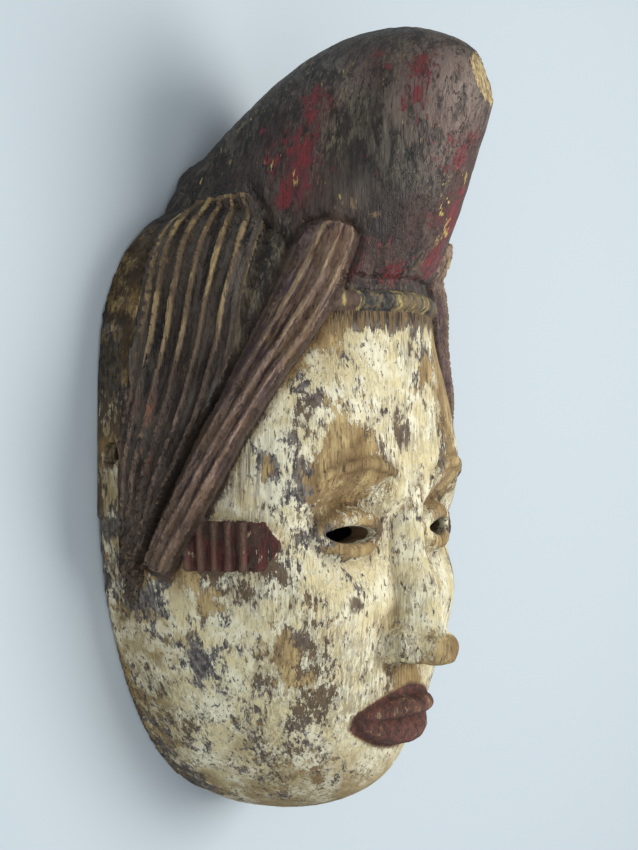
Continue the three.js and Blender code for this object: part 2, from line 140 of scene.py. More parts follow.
# %% The head's own curves
def half_width(y):
    low = superellipse(np.clip((JAW_Y - y) / (JAW_Y - CHIN_Y), 0, 1), 2.02)
    high = superellipse(np.clip((y - TEMPLE_Y) / (CROWN_Y - TEMPLE_Y), 0, 1), 2.23)
    return HALF_WIDTH * np.minimum(low, high)


def head_depth(y):
    low = superellipse(np.clip((TEMPLE_Y - y) / (TEMPLE_Y - CHIN_Y), 0, 1), 3.48)
    high = superellipse(np.clip((y - TEMPLE_Y) / (CROWN_Y - TEMPLE_Y), 0, 1), 3.2)
    return FOREHEAD_DEPTH * np.minimum(low, high)


def section_power(y):
    return 2.5 - 0.75 * smooth(-0.03 * LENGTH, 0.125 * LENGTH, y)


def drawn_in(z):
    return 1 - TUCK * (1 - smooth(0, TUCK_HEIGHT, z))


print("the head is", round(2 * float(half_width(0)), 1), "mm wide and",
      round(float(head_depth(0)), 1), "mm deep in the middle")


# %% The broad forms of the face
def brow_height(side):
    return BROW_Y + 0.12 * THIRD * (1 - 1.9 * ((side - EYE_X) / EYE_WIDTH) ** 2)


def face_relief(x, y):
    """The broad forms of the face: brow, eye socket, cheekbone, muzzle and chin."""
    side = np.abs(x)
    across = (side - EYE_X) / EYE_WIDTH
    line = brow_height(side)
    socket = smooth(line, line - 0.24 * THIRD, y)
    socket *= smooth(EYE_Y - 0.42 * THIRD, EYE_Y - 0.04 * THIRD, y)
    brow = 0.06 * EYE_WIDTH * hump(y - line - 0.05 * THIRD, 0.14 * THIRD)
    cheekbone = hump(side - 1.5 * EYE_WIDTH, 0.8 * EYE_WIDTH)
    cheekbone *= hump(y - EYE_Y + 0.45 * THIRD, 0.36 * THIRD)
    muzzle = hump(side, 1.15 * MOUTH_HALF_WIDTH) * hump(y - MOUTH_Y, 0.36 * THIRD)
    chin = hump(side, 0.7 * EYE_WIDTH) * hump(y - CHIN_BALL_Y, 0.22 * THIRD)
    carved = (brow - 0.28 * EYE_WIDTH * socket) * hump(across, 0.9)
    return carved + 0.05 * THIRD * cheekbone + 0.1 * THIRD * (muzzle + chin)


print("the brow's line is at", round(float(brow_height(EYE_X)), 1), "mm over the eye")


# %% The crest's curves
def crest_front(y):
    share = np.clip((y - CREST_FOOT_Y) / (CREST_TIP_Y - CREST_FOOT_Y), 0, 1)
    rising = CREST_FOOT_Z + (CREST_DEPTH - CREST_FOOT_Z) * share**0.81
    over = np.clip((y - CREST_TIP_Y) / (CREST_TOP_Y - CREST_TIP_Y), 0, 1)
    falling = CREST_PEAK_Z + (CREST_DEPTH - CREST_PEAK_Z) * superellipse(over, 2)
    low = CREST_FOOT_Z - 1.2 * (CREST_FOOT_Y - y)
    return np.where(y < CREST_FOOT_Y, low, np.where(share < 1, rising, falling))


def crest_back(y):
    low = np.maximum(-3.2 * (CREST_BACK_Y - y), -0.4 * CREST_DEPTH)
    share = np.clip((CREST_TOP_Y - y) / (CREST_TOP_Y - CREST_BACK_Y), 0, 1)
    return np.where(y < CREST_BACK_Y, low, CREST_PEAK_Z * (1 - share**0.62))


def crest_middle(y):
    back = np.maximum(crest_back(y), 0)
    return back + 0.29 * (crest_front(y) - back)


def crest_half_width(y):
    share = np.clip((y - CREST_SHOULDER_Y) / (CREST_TOP_Y - CREST_SHOULDER_Y), 0, 1)
    return CREST_WIDTH / 2 * superellipse(share, 2)


def crest_flare(y, z):
    """The foot of the crest spreads where it runs down to the rim."""
    low = smooth(0.345 * LENGTH, 0.27 * LENGTH, y)
    return 1 + CREST_FLARE * low * smooth(0.45 * CREST_DEPTH, 0.06 * CREST_DEPTH, z)


print("the crest is", round(2 * float(crest_half_width(CREST_TIP_Y)), 1), "mm wide at its tip")

# %% [markdown]
# A point lies in the head or in the crest where its share of their size is under 1. The bare
# surface round the head's inner axis is found from that by halving, since it has no plain sum.


# %% Inside or outside
def outside_head(x, y, z):
    """Under 1 inside the bare head, 1 on its surface."""
    power = section_power(y)
    along = y / drawn_in(z)
    across = np.abs(x / drawn_in(z)) / np.maximum(half_width(along), 0.01)
    out = np.maximum(z, 0) / np.maximum(head_depth(along), 0.01)
    return (across**power + out**power) ** (1 / power)


def outside_crest(x, y, z):
    middle = crest_middle(y)
    reach = np.where(z > middle, crest_front(y) - middle, middle - crest_back(y))
    across = np.abs(x) / np.maximum(crest_half_width(y) * crest_flare(y, z), 0.01)
    out = np.abs(z - middle) / np.maximum(reach, 0.01)
    return (across**CREST_POWER + out**CREST_POWER) ** (1 / CREST_POWER)


def bare_radius(turn, y):
    """How far the bare surface is from the head's inner axis, found by halving."""
    inside = np.zeros_like(turn)
    outside = np.full_like(turn, 2 * FOREHEAD_DEPTH)
    for _ in range(20):
        radius = (inside + outside) / 2
        x, z = radius * np.cos(turn), AXIS_Z + radius * np.sin(turn)
        within = np.minimum(outside_head(x, y, z), outside_crest(x, y, z)) < 1
        inside = np.where(within, radius, inside)
        outside = np.where(within, outside, radius)
    return inside


ahead = bare_radius(np.array([math.pi / 2]), np.array([0.0]))
print("straight ahead the bare surface is", round(float(ahead[0]), 1), "mm from the axis")

# %% [markdown]
# ## A fine mesh over the solid
# The CAD solid is faceted. Its copy is merged first, because a CAD node is loose triangles,
# and then remeshed with voxels a little over a millimetre wide. That gives an even skin of small
# quads, which holds the whole form, the hollow and the pierced eyes, and leaves enough points
# for a groove cut with a knife point. The hollow is plain, so its skin is thinned out again.

# %% Copy the solid and remesh it
VOXEL = 0.00134  # metres
KEPT_SHARE = 0.735  # of the faces, once the hollow is thinned out

cad_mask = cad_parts["mask"]
merged = bmesh.new()
merged.from_mesh(cad_mask.data)
bmesh.ops.remove_doubles(merged, verts=merged.verts, dist=2e-6)
skin = bpy.data.meshes.new("carved_mask")
merged.to_mesh(skin)
merged.free()
skin.materials.clear()
mask = bpy.data.objects.new("carved_mask", skin)
bpy.context.scene.collection.objects.link(mask)
remesh = mask.modifiers.new("even_skin", "REMESH")
remesh.mode = "VOXEL"
remesh.voxel_size = VOXEL
remesh.adaptivity = 0.0


def with_modifiers_applied(thing):
    evaluated = thing.evaluated_get(bpy.context.evaluated_depsgraph_get())
    made = bpy.data.meshes.new_from_object(evaluated)
    thing.modifiers.clear()
    before, thing.data = thing.data, made
    bpy.data.meshes.remove(before)
    return made


def read_points(mesh):
    """The mesh's points in millimetres."""
    flat = np.empty(len(mesh.vertices) * 3, np.float32)
    mesh.vertices.foreach_get("co", flat)
    return flat.reshape(-1, 3).astype(float) * 1000


fine = with_modifiers_applied(mask)
print("even skin:", len(fine.vertices), "points")

# %% Thin the hollow's skin
x, y, z = read_points(fine).T
turn = np.arctan2(z - AXIS_Z, np.abs(x))
depth = bare_radius(turn, y) - np.hypot(x, z - AXIS_Z)
in_hollow = np.flatnonzero((depth > 9) & (y < CROWN_Y) | (z < 0.4))
hollow_group = mask.vertex_groups.new(name="hollow")
hollow_group.add(in_hollow.tolist(), 1.0, "REPLACE")
thin_out = mask.modifiers.new("thin_out", "DECIMATE")
thin_out.ratio = KEPT_SHARE
thin_out.vertex_group = "hollow"
thin_out.vertex_group_factor = 1000.0
fine = with_modifiers_applied(mask)
fine.name = "carved_mask"
mask.vertex_groups.clear()
print("fine skin:", len(fine.vertices), "points,",
      sum(len(polygon.vertices) - 2 for polygon in fine.polygons), "triangles")


# %% Read the skin
def read_normals(mesh):
    flat = np.empty(len(mesh.vertices) * 3, np.float32)
    mesh.vertex_normals.foreach_get("vector", flat)
    return flat.reshape(-1, 3).astype(float)


points = read_points(fine)
edge_ends = np.empty(len(fine.edges) * 2, np.int32)
fine.edges.foreach_get("vertices", edge_ends)
edge_ends = edge_ends.reshape(-1, 2)
neighbours = np.bincount(edge_ends.ravel(), minlength=len(points))
edge_lengths = np.linalg.norm(points[edge_ends[:, 0]] - points[edge_ends[:, 1]], axis=1)
print("mean edge", round(float(edge_lengths.mean()), 2), "mm")


# %% Blur and relax
def spread(values, rounds=1):
    """Each point's mean of its neighbours, for an array with one or more columns."""
    for _ in range(rounds):
        table = values.reshape(len(points), -1)
        total = np.zeros_like(table)
        for column in range(table.shape[1]):
            for here, there in ((0, 1), (1, 0)):
                total[:, column] += np.bincount(
                    edge_ends[:, here], table[edge_ends[:, there], column], len(points)
                )
        values = (total / neighbours[:, None]).reshape(values.shape)
    return values


def relax(place, share, rounds):
    """Smooths the points, each by its own share, back and forth so that nothing shrinks."""
    weight = np.asarray(share, float).reshape(-1, 1)
    for _ in range(rounds):
        place = place + 0.5 * weight * (spread(place) - place)
        place = place - 0.51 * weight * (spread(place) - place)
    return place


def measure():
    """Each point's place, side, turn round the head, the bare radius there and the lift off it."""
    x, y, z = points.T
    side = np.abs(x)
    turn = np.arctan2(z - AXIS_Z, side)
    bare = bare_radius(turn, y)
    return x, y, z, side, turn, bare, np.hypot(side, z - AXIS_Z) - bare


print("each point has", round(float(neighbours.mean()), 1), "neighbours")

# %% [markdown]
# ## True curves instead of facets
# Where the skin is bare head or crest, each point is moved onto the smooth curve itself. It is
# scaled out from the middle of its own cross-section, which can't fold the surface over. The
# features, such as a lid or a lip, stand further off the curve than a facet does, so they are
# told apart by that distance and left to be smoothed instead.

# %% Which points are outside, and how far off the bare form they lie
WALL = 7  # mm, deeper than the facets and thinner than the wood
FACET = 0.9  # mm, the furthest that a facet lies off its curve
x, y, z, side, turn, bare, lift = measure()
on_head = outside_head(x, y, z)
on_crest = outside_crest(x, y, z)
crest_point = (on_crest < 1.06) & (y > CREST_FOOT_Y - 6) & ((on_head > 1.01) | (y > CROWN_Y))
head_outer = (lift > -WALL) & (y < CROWN_Y + 6)
outer = (head_outer | crest_point | (y > CROWN_Y - 4)) & (z > 0.6)
print("outer points:", int(outer.sum()), "of them on the crest:", int(crest_point.sum()))

# %% [markdown]
# On the real mask a chip has split off the crest's tip. The solid has it as one flat cut, so
# the points on that flat are found by their distance from its plane, and are kept apart here:
# they get splinters later, where a boolean cut would leave the flat as smooth as glass.

# %% The broken tip
CHIP_NORMAL = np.array([
    math.cos(0.24) * math.sin(0.27), math.sin(0.24), math.cos(0.24) * math.cos(0.27)])
CHIP_DEPTH = 10.0  # mm, from the middle of the sloping break to its plane
chip_middle = np.array([0.0, CREST_TIP_Y, CREST_DEPTH + 8.7])
above_break = (points - chip_middle) @ CHIP_NORMAL + CHIP_DEPTH
broken = outer & (above_break > -FACET) & (y > CREST_FOOT_Y)
print("broken points:", int(broken.sum()))

# %% Move the bare points onto the curves
front = head_depth(y) * superellipse(np.minimum(side / np.maximum(half_width(y), 0.01), 1),
                                     section_power(y)) + face_relief(x, y)
off_face = np.where(z > 40, z - front, lift)
plain_head = outer & ~crest_point & (np.abs(off_face) < FACET) & (z > 2.2) & (y < CROWN_Y - 8)
# The relief is part of the skin already, so it is taken off before the scaling.
relief = smooth(30, 60, z) * face_relief(x, y)
flat_scale = 1 / np.clip(outside_head(x, y, z - relief), 0.85, 1.15)
bare_place = np.stack([x * flat_scale, y, (z - relief) * flat_scale + relief], 1)
plain_head &= np.linalg.norm(bare_place - points, axis=1) < 1.2
points[plain_head] = bare_place[plain_head]

plain_crest = crest_point & ~broken & (z > 1.5)
middle = crest_middle(y)
crest_scale = 1 / np.clip(on_crest, 0.9, 1.1)
points[plain_crest, 0] = (x * crest_scale)[plain_crest]
points[plain_crest, 2] = (middle + (z - middle) * crest_scale)[plain_crest]
print("moved onto curves:", int(plain_head.sum()), "head,", int(plain_crest.sum()), "crest")

# %% [markdown]
# ## The locks
# A lock is a strip laid on the head, cut into ribs by broad hollow flutes. Its middle line is
# a smooth curve through a few stations, each a turn round the head, a place along it and half
# the strip's width. Every point of the skin finds its own place on the strip, how far along
# and how far across, and takes the carved height for that place. So the ribs follow the lock
# as it narrows, as a carver's strokes do.

# %% The strips: turn in degrees, place as a share of the length, half width in mm
LOCKS = dict(
    front=dict(stations=[
        (60, 0.25, 9), (56, 0.205, 11), (46.5, 0.142, 11), (35.7, 0.073, 9), (27.7, 0.011, 8),
        (20.7, -0.047, 8), (13.4, -0.106, 7.5), (4.5, -0.17, 6)],
        height=9.5, crown=0.62, flutes=4, depth=3.2, channel=0.95, rounded=0.062, seed=3),
    back=dict(stations=[
        (11, 0.293, 13), (12.5, 0.25, 20), (12.8, 0.155, 18.5), (9.5, 0.031, 18.5),
        (4, -0.047, 14.5), (0.5, -0.106, 9.5), (-3.5, -0.17, 5), (-5.8, -0.206, 2)],
        height=5.5, crown=0.15, flutes=6, depth=3.6, channel=0.72, rounded=0, seed=8))
print("locks on each side:", ", ".join(LOCKS))


# %% The smooth course of a strip
def course_of(stations, count=481):
    """The smooth curve through the stations, as rows of turn, place and half width."""
    knots = np.array([(t, place * LENGTH, half) for t, place, half in stations], float)
    knots = np.vstack([2 * knots[0] - knots[1], knots, 2 * knots[-1] - knots[-2]])
    place = np.linspace(0, len(stations) - 1, count)
    first = np.minimum(place.astype(int), len(stations) - 2)
    part = (place - first)[:, None]
    a, b, c, d = (knots[first + k] for k in range(4))
    ab, bc, cd = (np.sqrt(np.linalg.norm(q - p, axis=1, keepdims=True))
                  for p, q in ((a, b), (b, c), (c, d)))
    start = ((b - a) / ab - (c - a) / (ab + bc) + (c - b) / bc) * bc
    end = ((c - b) / bc - (d - b) / (bc + cd) + (d - c) / cd) * bc
    cubic = 2 * b - 2 * c + start + end
    return b + part * start + part**2 * (3 * c - 3 * b - 2 * start - end) + part**3 * cubic


courses = {name: course_of(lock["stations"]) for name, lock in LOCKS.items()}
for name, line in courses.items():
    print(name, "lock runs from", round(line[0, 1]), "to", round(line[-1, 1]), "mm")


# %% Where each point lies on the strips
def place_on(line, wanted):
    """Share along, share across and overshoot in mm, for the wanted points."""
    line_turn, line_y, line_half = np.radians(line[:, 0]), line[:, 1], line[:, 2]
    radius = bare_radius(line_turn, line_y)
    heading = np.stack([np.gradient(line_turn) * radius, np.gradient(line_y)], 1)
    heading /= np.linalg.norm(heading, axis=1, keepdims=True)
    along = np.zeros(len(points))
    across = np.full(len(points), 9.0)
    over = np.full(len(points), 99.0)
    for chunk in np.array_split(np.flatnonzero(wanted), 24):
        round_it = (turn[chunk, None] - line_turn) * bare[chunk, None]
        up_it = y[chunk, None] - line_y
        nearest = np.argmin(round_it**2 + up_it**2, axis=1)
        row = np.arange(len(chunk))
        du, dv = round_it[row, nearest], up_it[row, nearest]
        ahead = heading[nearest]
        along[chunk] = nearest / (len(line) - 1)
        across[chunk] = (du * ahead[:, 1] - dv * ahead[:, 0]) / line_half[nearest]
        over[chunk] = np.abs(du * ahead[:, 0] + dv * ahead[:, 1])
    return along, across, over


x, y, z, side, turn, bare, lift = measure()
hair_side = outer & (y > -80) & (y < 112) & (turn < 1.25)
lock_places = {name: place_on(line, hair_side) for name, line in courses.items()}
for name, (along, across, over) in lock_places.items():
    print(name, "lock:", int(((np.abs(across) < 1) & (over < 2)).sum()), "points")

# %% [markdown]
# The front lock ends in a round tip against the crest. The solid's end is square, so the carver's
# last strokes are added here: the height falls to the ground like a thumb's end, and the ribs
# run together towards it.

# %% Rounded ends
END_POWER = 2.2


def toward_end(lock, along):
    """0 along most of a lock, 1 at its upper end."""
    return np.clip(1 - along / lock["rounded"], 0, 1) if lock["rounded"] else 0 * along


def off_middle(lock, along, across):
    """0 on a lock's middle line, 1 on its outline, which is rounded at the upper end."""
    return (np.abs(across)**END_POWER + toward_end(lock, along)**END_POWER) ** (1 / END_POWER)


print("the front lock is rounded over", LOCKS["front"]["rounded"], "of its length")

# %% [markdown]
# Every stroke wanders a little. Noise from Blender's own library gives that wander, drawn out
# along Y as the grain is. A Displace modifier could add it too, but here it is also needed as
# a number, so that a flute, its ridge and its paint all wander together.


# %% Unevenness of handwork
def grain_noise(places, size, seed, stretch=4.0, octaves=3):
    """Noise from -1 to 1 whose features are this size in mm, drawn out along the grain."""
    offset = Vector((seed * 7.3, seed * 3.1, seed * 5.7))
    return np.array([
        noise.fractal(Vector((px / size, py / (size * stretch), pz / size)) + offset,
                      1.0, 2.1, octaves) for px, py, pz in places])


sample = grain_noise(points[::5000], 20.0, 0)
print("noise runs from", round(sample.min(), 2), "to", round(sample.max(), 2))

# %% [markdown]
# Each flute is the stroke of a round gouge, and a ridge is the wood left between two strokes.
# A bevelled strip laid on the head would have a seam all round. So the height is worked out
# for each point and the skin itself is raised to it, and lock and head stay one surface.


# %% The height of a lock
def lock_shape(lock, t, a, end, wander):
    """How high a lock stands over the bare head, its flutes, and how near its outline is."""
    narrowed = np.clip(a / np.maximum(superellipse(end, END_POWER), 0.3), -1, 1)
    share = (narrowed + 1) / 2 * lock["flutes"]
    swing = np.abs(np.sin(math.pi * share))
    hollow = smooth(0.08, lock["channel"], swing)
    taper = superellipse(2 * t - 1, 6)
    rise = lock["height"] * (1 - lock["crown"] * np.clip(a, -1, 1) ** 2) - lock["depth"] * hollow
    rise = (rise - 1.6 * smooth(0.86, 1.0, np.abs(a)) + 0.35 * wander) * taper
    outline = off_middle(lock, t, a)
    dome = superellipse(np.minimum(outline, 1), 4) / np.maximum(
        superellipse(np.minimum(np.abs(a), 1), 4), 0.2)
    rise = np.where(end > 0, np.maximum(rise * np.minimum(dome, 1), 0.7), rise)
    return rise, swing, outline


for name, lock in LOCKS.items():
    print(f"{name} lock: {lock['flutes']} flutes, {lock['depth']} mm deep")

# %% [markdown]
# The fan is carved first and the front lock after it, since the front one lies on top. The
# same pass notes where the ridges, the flutes and the grooves beside the locks are: hands
# wear the first, the middle of each flute gets a painted sheen, and the grooves are painted
# dark as shade.

# %% Carve the flutes
outward = np.stack([np.sign(x) * np.cos(turn), np.zeros_like(x), np.sin(turn)], 1)
ridge, flute = np.zeros(len(points)), np.zeros(len(points))
on_lock = np.zeros(len(points))
groove = np.zeros(len(points))
for name in ("back", "front"):
    lock, (along, across, over) = LOCKS[name], lock_places[name]
    chosen = np.flatnonzero(hair_side & (over < 2.0) & (np.abs(across) < 1.35))
    wander = grain_noise(points[chosen], 22.0, lock["seed"], 1.5, 2)
    a = across[chosen] + 0.05 * wander
    t = along[chosen]
    end = toward_end(lock, t)
    rise, swing, outline = lock_shape(lock, t, a, end, wander)
    top = smooth(0.35, 0.65, lift[chosen] / np.maximum(rise, 0.5))
    strip = smooth(1.03, 0.95, np.abs(a))
    strip += smooth(0.0, 0.3, end) * (smooth(1.33, 1.15, np.abs(a)) - strip)
    inside = strip * top * smooth(0.0, 0.6, rise)
    if name == "back":  # the front lock lies over the fan
        _, f_across, f_over = lock_places["front"]
        inside *= smooth(1.0, 1.12, np.abs(f_across[chosen]) + 9 * (f_over[chosen] > 2))
    points[chosen] += (inside * (rise - lift[chosen]))[:, None] * outward[chosen]

    border = smooth(0.86, 0.96, outline) * smooth(1.12, 1.02, outline)
    if name == "back":
        border = np.maximum(border, smooth(0.05, 0.015, t))
    sharp = np.maximum((1 - smooth(0.15, 0.72, swing)) * smooth(1.1, 1.0, outline), 0.8 * border)
    ridge[chosen] = np.maximum(ridge[chosen] * (1 - inside), sharp * inside)
    flute[chosen] = np.maximum(flute[chosen] * (1 - inside), smooth(0.45, 0.9, swing) * inside)
    on_lock[chosen] = np.maximum(on_lock[chosen], inside * smooth(1.1, 1.0, outline))
    beside = smooth(0.98, 1.06, outline) * smooth(1.3, 1.12, outline)
    beside *= np.maximum(1 - top, 0.8 * smooth(0.1, 0.4, end))
    if name == "front":  # a deep line parts it from the fan that it lies on
        parting = smooth(0.98, 1.1, a) * smooth(1.36, 1.18, a) * smooth(0, 0.08, t)
        sunk = 2.4 * parting * smooth(1.0, 3.0, lift[chosen])
        points[chosen] -= sunk[:, None] * outward[chosen]
        beside = np.maximum(beside, parting)
    # the groove mask is painted dark as shade in the material
    groove[chosen] = np.maximum(groove[chosen], beside)
print("ridge points:", int((ridge > 0.5).sum()))

# %% [markdown]
# ## The face
# The features of the solid are blunt where its facets are wide, so they are relaxed first: each
# point drifts towards the middle of its neighbours and part of the way back. A subdivision
# would smooth them too, but it would quadruple the mesh.

# %% Relax the features
features = outer & ~plain_head & ~plain_crest & (on_lock < 0.3)
eased = np.where(features, 1.0, np.maximum(np.where(on_lock > 0.3, 0.25, 0.3), 0.9 * groove))
points = relax(points, eased, 5)
points = relax(points, smooth(5.0, 2.5, points[:, 2]), 40)  # the rim's edge, rubbed even
print("relaxed feature points:", int(features.sum()))

# %% Round the nose and fill the shoulder of the crest
nose_end = hump(points[:, 0], 11) * hump(points[:, 1] - NOSE_BASE_Y - 4, 11)
nose_end *= smooth(94, 100, points[:, 2]) * outer
points = relax(points, nose_end, 30)  # the tip of the nose, rounded off with a rasp
shoulder = hump(y - 96, 13) * smooth(60, 40, z) * smooth(22, 36, side) * (lift > -9)
for _ in range(40):  # the hollow line where the foot of the crest runs into the head fills up
    points[:, :2] += (0.5 * shoulder * (1 - on_lock))[:, None] * (spread(points) - points)[:, :2]
print("nose points:", int((nose_end > 0.5).sum()), "shoulder:", int((shoulder > 0.5).sum()))

# %% [markdown]
# Then come the cuts that a knife makes afterwards: the line between the lips, the crease over
# each eye, the wings of the nose, the groove under it and two slanting marks over the brows. A
# cut is a narrow hump of depth along a line, taken straight down into the face.

# %% Knife cuts on the face
x, y, z, side, turn, bare, lift = measure()
on_face = outer & (z > 45) & (y < HAIRLINE_Y)


def cut_line(start, end, reach):
    """1 on the line between two places seen from the front, 0 away from it."""
    (ax, ay), (bx, by) = start, end
    share = np.clip(((side - ax) * (bx - ax) + (y - ay) * (by - ay))
                    / ((bx - ax) ** 2 + (by - ay) ** 2), 0, 1)
    away = np.hypot(side - ax - share * (bx - ax), y - ay - share * (by - ay))
    return hump(away, reach) * on_face


mark = cut_line((0.62 * EYE_WIDTH, BROW_Y + 0.46 * THIRD),
                (1.22 * EYE_WIDTH, BROW_Y + 0.24 * THIRD), 1.3)
lid_y = EYE_Y + 0.2 * THIRD * (1 - ((side - EYE_X) / (0.75 * EYE_WIDTH)) ** 2)
lid_crease = hump(y - lid_y, 1.0) * (np.abs(side - EYE_X) < 0.62 * EYE_WIDTH) * on_face
wing_away = np.hypot((side - 0.3 * EYE_WIDTH) / 1.0, (y - NOSE_BASE_Y - 0.12 * THIRD) / 1.15)
wing = hump(wing_away - 0.155 * THIRD, 1.2) * (side > 0.3 * EYE_WIDTH) * on_face
lip_line = MOUTH_Y + 0.012 * THIRD * hump(side, 6.0)
mouth_cut = hump(y - lip_line, 1.1) * smooth(1.02 * MOUTH_HALF_WIDTH, 0.85 * MOUTH_HALF_WIDTH,
                                            side) * on_face
philtrum = hump(side, 2.6) * smooth(NOSE_BASE_Y, NOSE_BASE_Y - 4, y) * smooth(
    MOUTH_Y + 0.14 * THIRD, MOUTH_Y + 0.2 * THIRD, y) * on_face
points[:, 2] -= 0.9 * mark + 0.7 * lid_crease + 0.9 * wing + 1.0 * mouth_cut + 0.9 * philtrum
print("cut points:", int((mark + lid_crease + wing + mouth_cut + philtrum > 0.5).sum()))

# %% [markdown]
# ## The temple marks
# On each temple a small raised patch is cut into ribs and ends in a point towards the eye. The
# ribs are waves across the patch, and only what the solid already raises is carved.

# %% Ribs on the temples
TEMPLE = dict(y=-0.138 * LENGTH, half=0.031 * LENGTH, start=13.0, end=41.0, height=3.0)
temple_along = (np.degrees(turn) - TEMPLE["start"]) / (TEMPLE["end"] - TEMPLE["start"])
temple_half = TEMPLE["half"] * (1 - 0.75 * smooth(0.8, 1, temple_along))
temple = outer & (z > 20) & (temple_along > 0) & (temple_along < 1)
temple_inside = smooth(1.04, 0.92, np.abs(y - TEMPLE["y"]) / temple_half) * temple
temple_inside *= 1 - on_lock
bare = bare_radius(turn, y)
lift = np.hypot(side, z - AXIS_Z) - bare
RIBS, RIBBED = 5, 0.7  # how many, and their share of the patch
rib = np.where(temple_along < RIBBED,
               np.abs(np.sin(math.pi * temple_along * RIBS / RIBBED)) ** 1.2, 0.4)
rib_lift = TEMPLE["height"] * (0.15 + 0.85 * rib)
outward = np.stack([np.sign(x) * np.cos(turn), np.zeros_like(x), np.sin(turn)], 1)
points += (temple_inside * smooth(0.1, 0.5, lift) * (rib_lift - lift))[:, None] * outward
# the spaces between the ribs join the groove mask, which the material paints dark as shade
groove = np.maximum(groove, 0.7 * temple_inside * smooth(0.6, 0.15, rib))
print("temple points:", int((temple_inside > 0.5).sum()))

# %% [markdown]
# ## Hand work and wear
# Nothing carved by hand is quite even. Shallow adze facets run over the head and the crest,
# the grain stands up a little, and the chip on the crest's tip broke along its fibres.

# %% Uneven surfaces
def write_points():
    fine.vertices.foreach_set("co", (points * 0.001).astype(np.float32).ravel())
    fine.update()


write_points()
normals = read_normals(fine)
skin_points = np.flatnonzero(z > 1.2)
uneven = np.zeros(len(points))
uneven[skin_points] = 0.36 * grain_noise(points[skin_points], 17.0, 1, 1.6, 2)
rougher = 0.14 + 0.14 * on_lock + 0.12 * smooth(BAND_Y, BAND_Y + 8, y)
uneven[skin_points] += rougher[skin_points] * grain_noise(points[skin_points], 3.4, 2, 5.0, 2)
uneven -= 0.9 * groove
splinter = np.zeros(len(points))
broken_points = np.flatnonzero(broken)
splinter[broken_points] = 0.8 * grain_noise(points[broken_points], 2.6, 5, 4.0, 3) - 0.5
inner = ~outer & (z > 1.2)
inner_points = np.flatnonzero(inner)
scoop = np.zeros(len(points))
scoop[inner_points] = 0.8 * np.abs(grain_noise(points[inner_points], 11.0, 6, 1.8, 1))
points += (uneven + splinter - scoop)[:, None] * normals
box_low, box_high = (np.array(corner) * 1000 for corner in cad_box)
points = np.clip(points, box_low + 0.02, box_high - 0.02)
write_points()
print("hollow points:", len(inner_points), "broken points:", len(broken_points))

# %% [markdown]
# ## Where each paint lies
# The real mask was painted area by area: dark hair and crest, white face, oxblood temple
# marks and lips, a banded headband. Each area becomes a value from 0 to 1 on every point. The
# material reads these values and breaks their edges up, so that paint ends as a brush and
# time leave it.

# %% Curvature, for wear on edges and dirt in recesses
x, y, z, side, turn, bare, lift = measure()
degrees = np.degrees(turn)
normals = read_normals(fine)


def bulge(rounds):
    """How far each point stands out of the blurred surface, in mm."""
    return ((points - spread(points, rounds)) * normals).sum(1)


fine_bulge, broad_bulge = bulge(2), bulge(14)
edge_wear = np.clip(smooth(0.05, 0.3, fine_bulge) + 0.6 * smooth(0.3, 1.6, broad_bulge), 0, 1)
recess = np.clip(smooth(-0.04, -0.25, fine_bulge) + smooth(-0.25, -1.4, broad_bulge), 0, 1)
edge_wear, recess = spread(edge_wear, 2), spread(recess, 2)
print("worn", round(float(edge_wear.mean()), 3), "recessed", round(float(recess.mean()), 3))

# %% [markdown]
# The dark hair paint covers the locks, the ground between them and all that is above the band.
# The locks' edges are known already, so the ground between them is found by its turn round the
# head. Each lock's own share is kept too, because the noise in its paint follows the lock.


# %% The hair
def edge_turn_at(line, across_sign):
    """The turn of one edge of a lock at each point's own place along the mask."""
    radius = bare_radius(np.radians(line[:, 0]), line[:, 1])
    slope = np.gradient(line[:, 1])
    round_slope = np.gradient(np.radians(line[:, 0])) * radius
    length = np.hypot(slope, round_slope)
    edge_turn = line[:, 0] + across_sign * np.degrees(line[:, 2] * slope / length / radius)
    edge_y = line[:, 1] - across_sign * line[:, 2] * round_slope / length
    order = np.argsort(edge_y)
    return np.interp(y, edge_y[order], edge_turn[order])


hair_front = np.maximum(*(edge_turn_at(courses["front"], sign) for sign in (-1, 1)))
hair_rear = np.minimum(*(edge_turn_at(courses["back"], sign) for sign in (-1, 1)))
between = smooth(hair_front + 1.5, hair_front - 0.5, degrees) * smooth(
    hair_rear - 1.0, hair_rear + 1.0, degrees) * (y > -54)
behind = smooth(38, 28, z)  # the strip between the fan and the rim
above_band = (1 - behind) * smooth(BAND_Y + 2.5, BAND_Y + 4.5, y) + behind * smooth(66, 96, y)
lock_share = {}
for name, (along, across, over) in lock_places.items():
    share = smooth(1.06, 0.98, off_middle(LOCKS[name], along, across)) * (over < 2.5)
    lock_share[name] = spread(share, 2) * outer
front_side = lock_share["front"] > 0.5
strand_along, strand_across = (
    np.where(front_side, lock_places["front"][k], lock_places["back"][k]) for k in (0, 1))
hair = np.max([between, on_lock, above_band, 1.4 * lock_share["back"], lock_share["front"]],
              axis=0)
hair = np.clip(hair, 0, 1) * outer
hair[outer & (y > CROWN_Y - 14)] = 1.0
print("hair on", int((hair > 0.5).sum()), "points")

# %% [markdown]
# The fringe is a ragged dark edge that runs down from the band on to the forehead. The band is a
# rope of even width that dips a little at its sides, and the front lock lies over its ends.

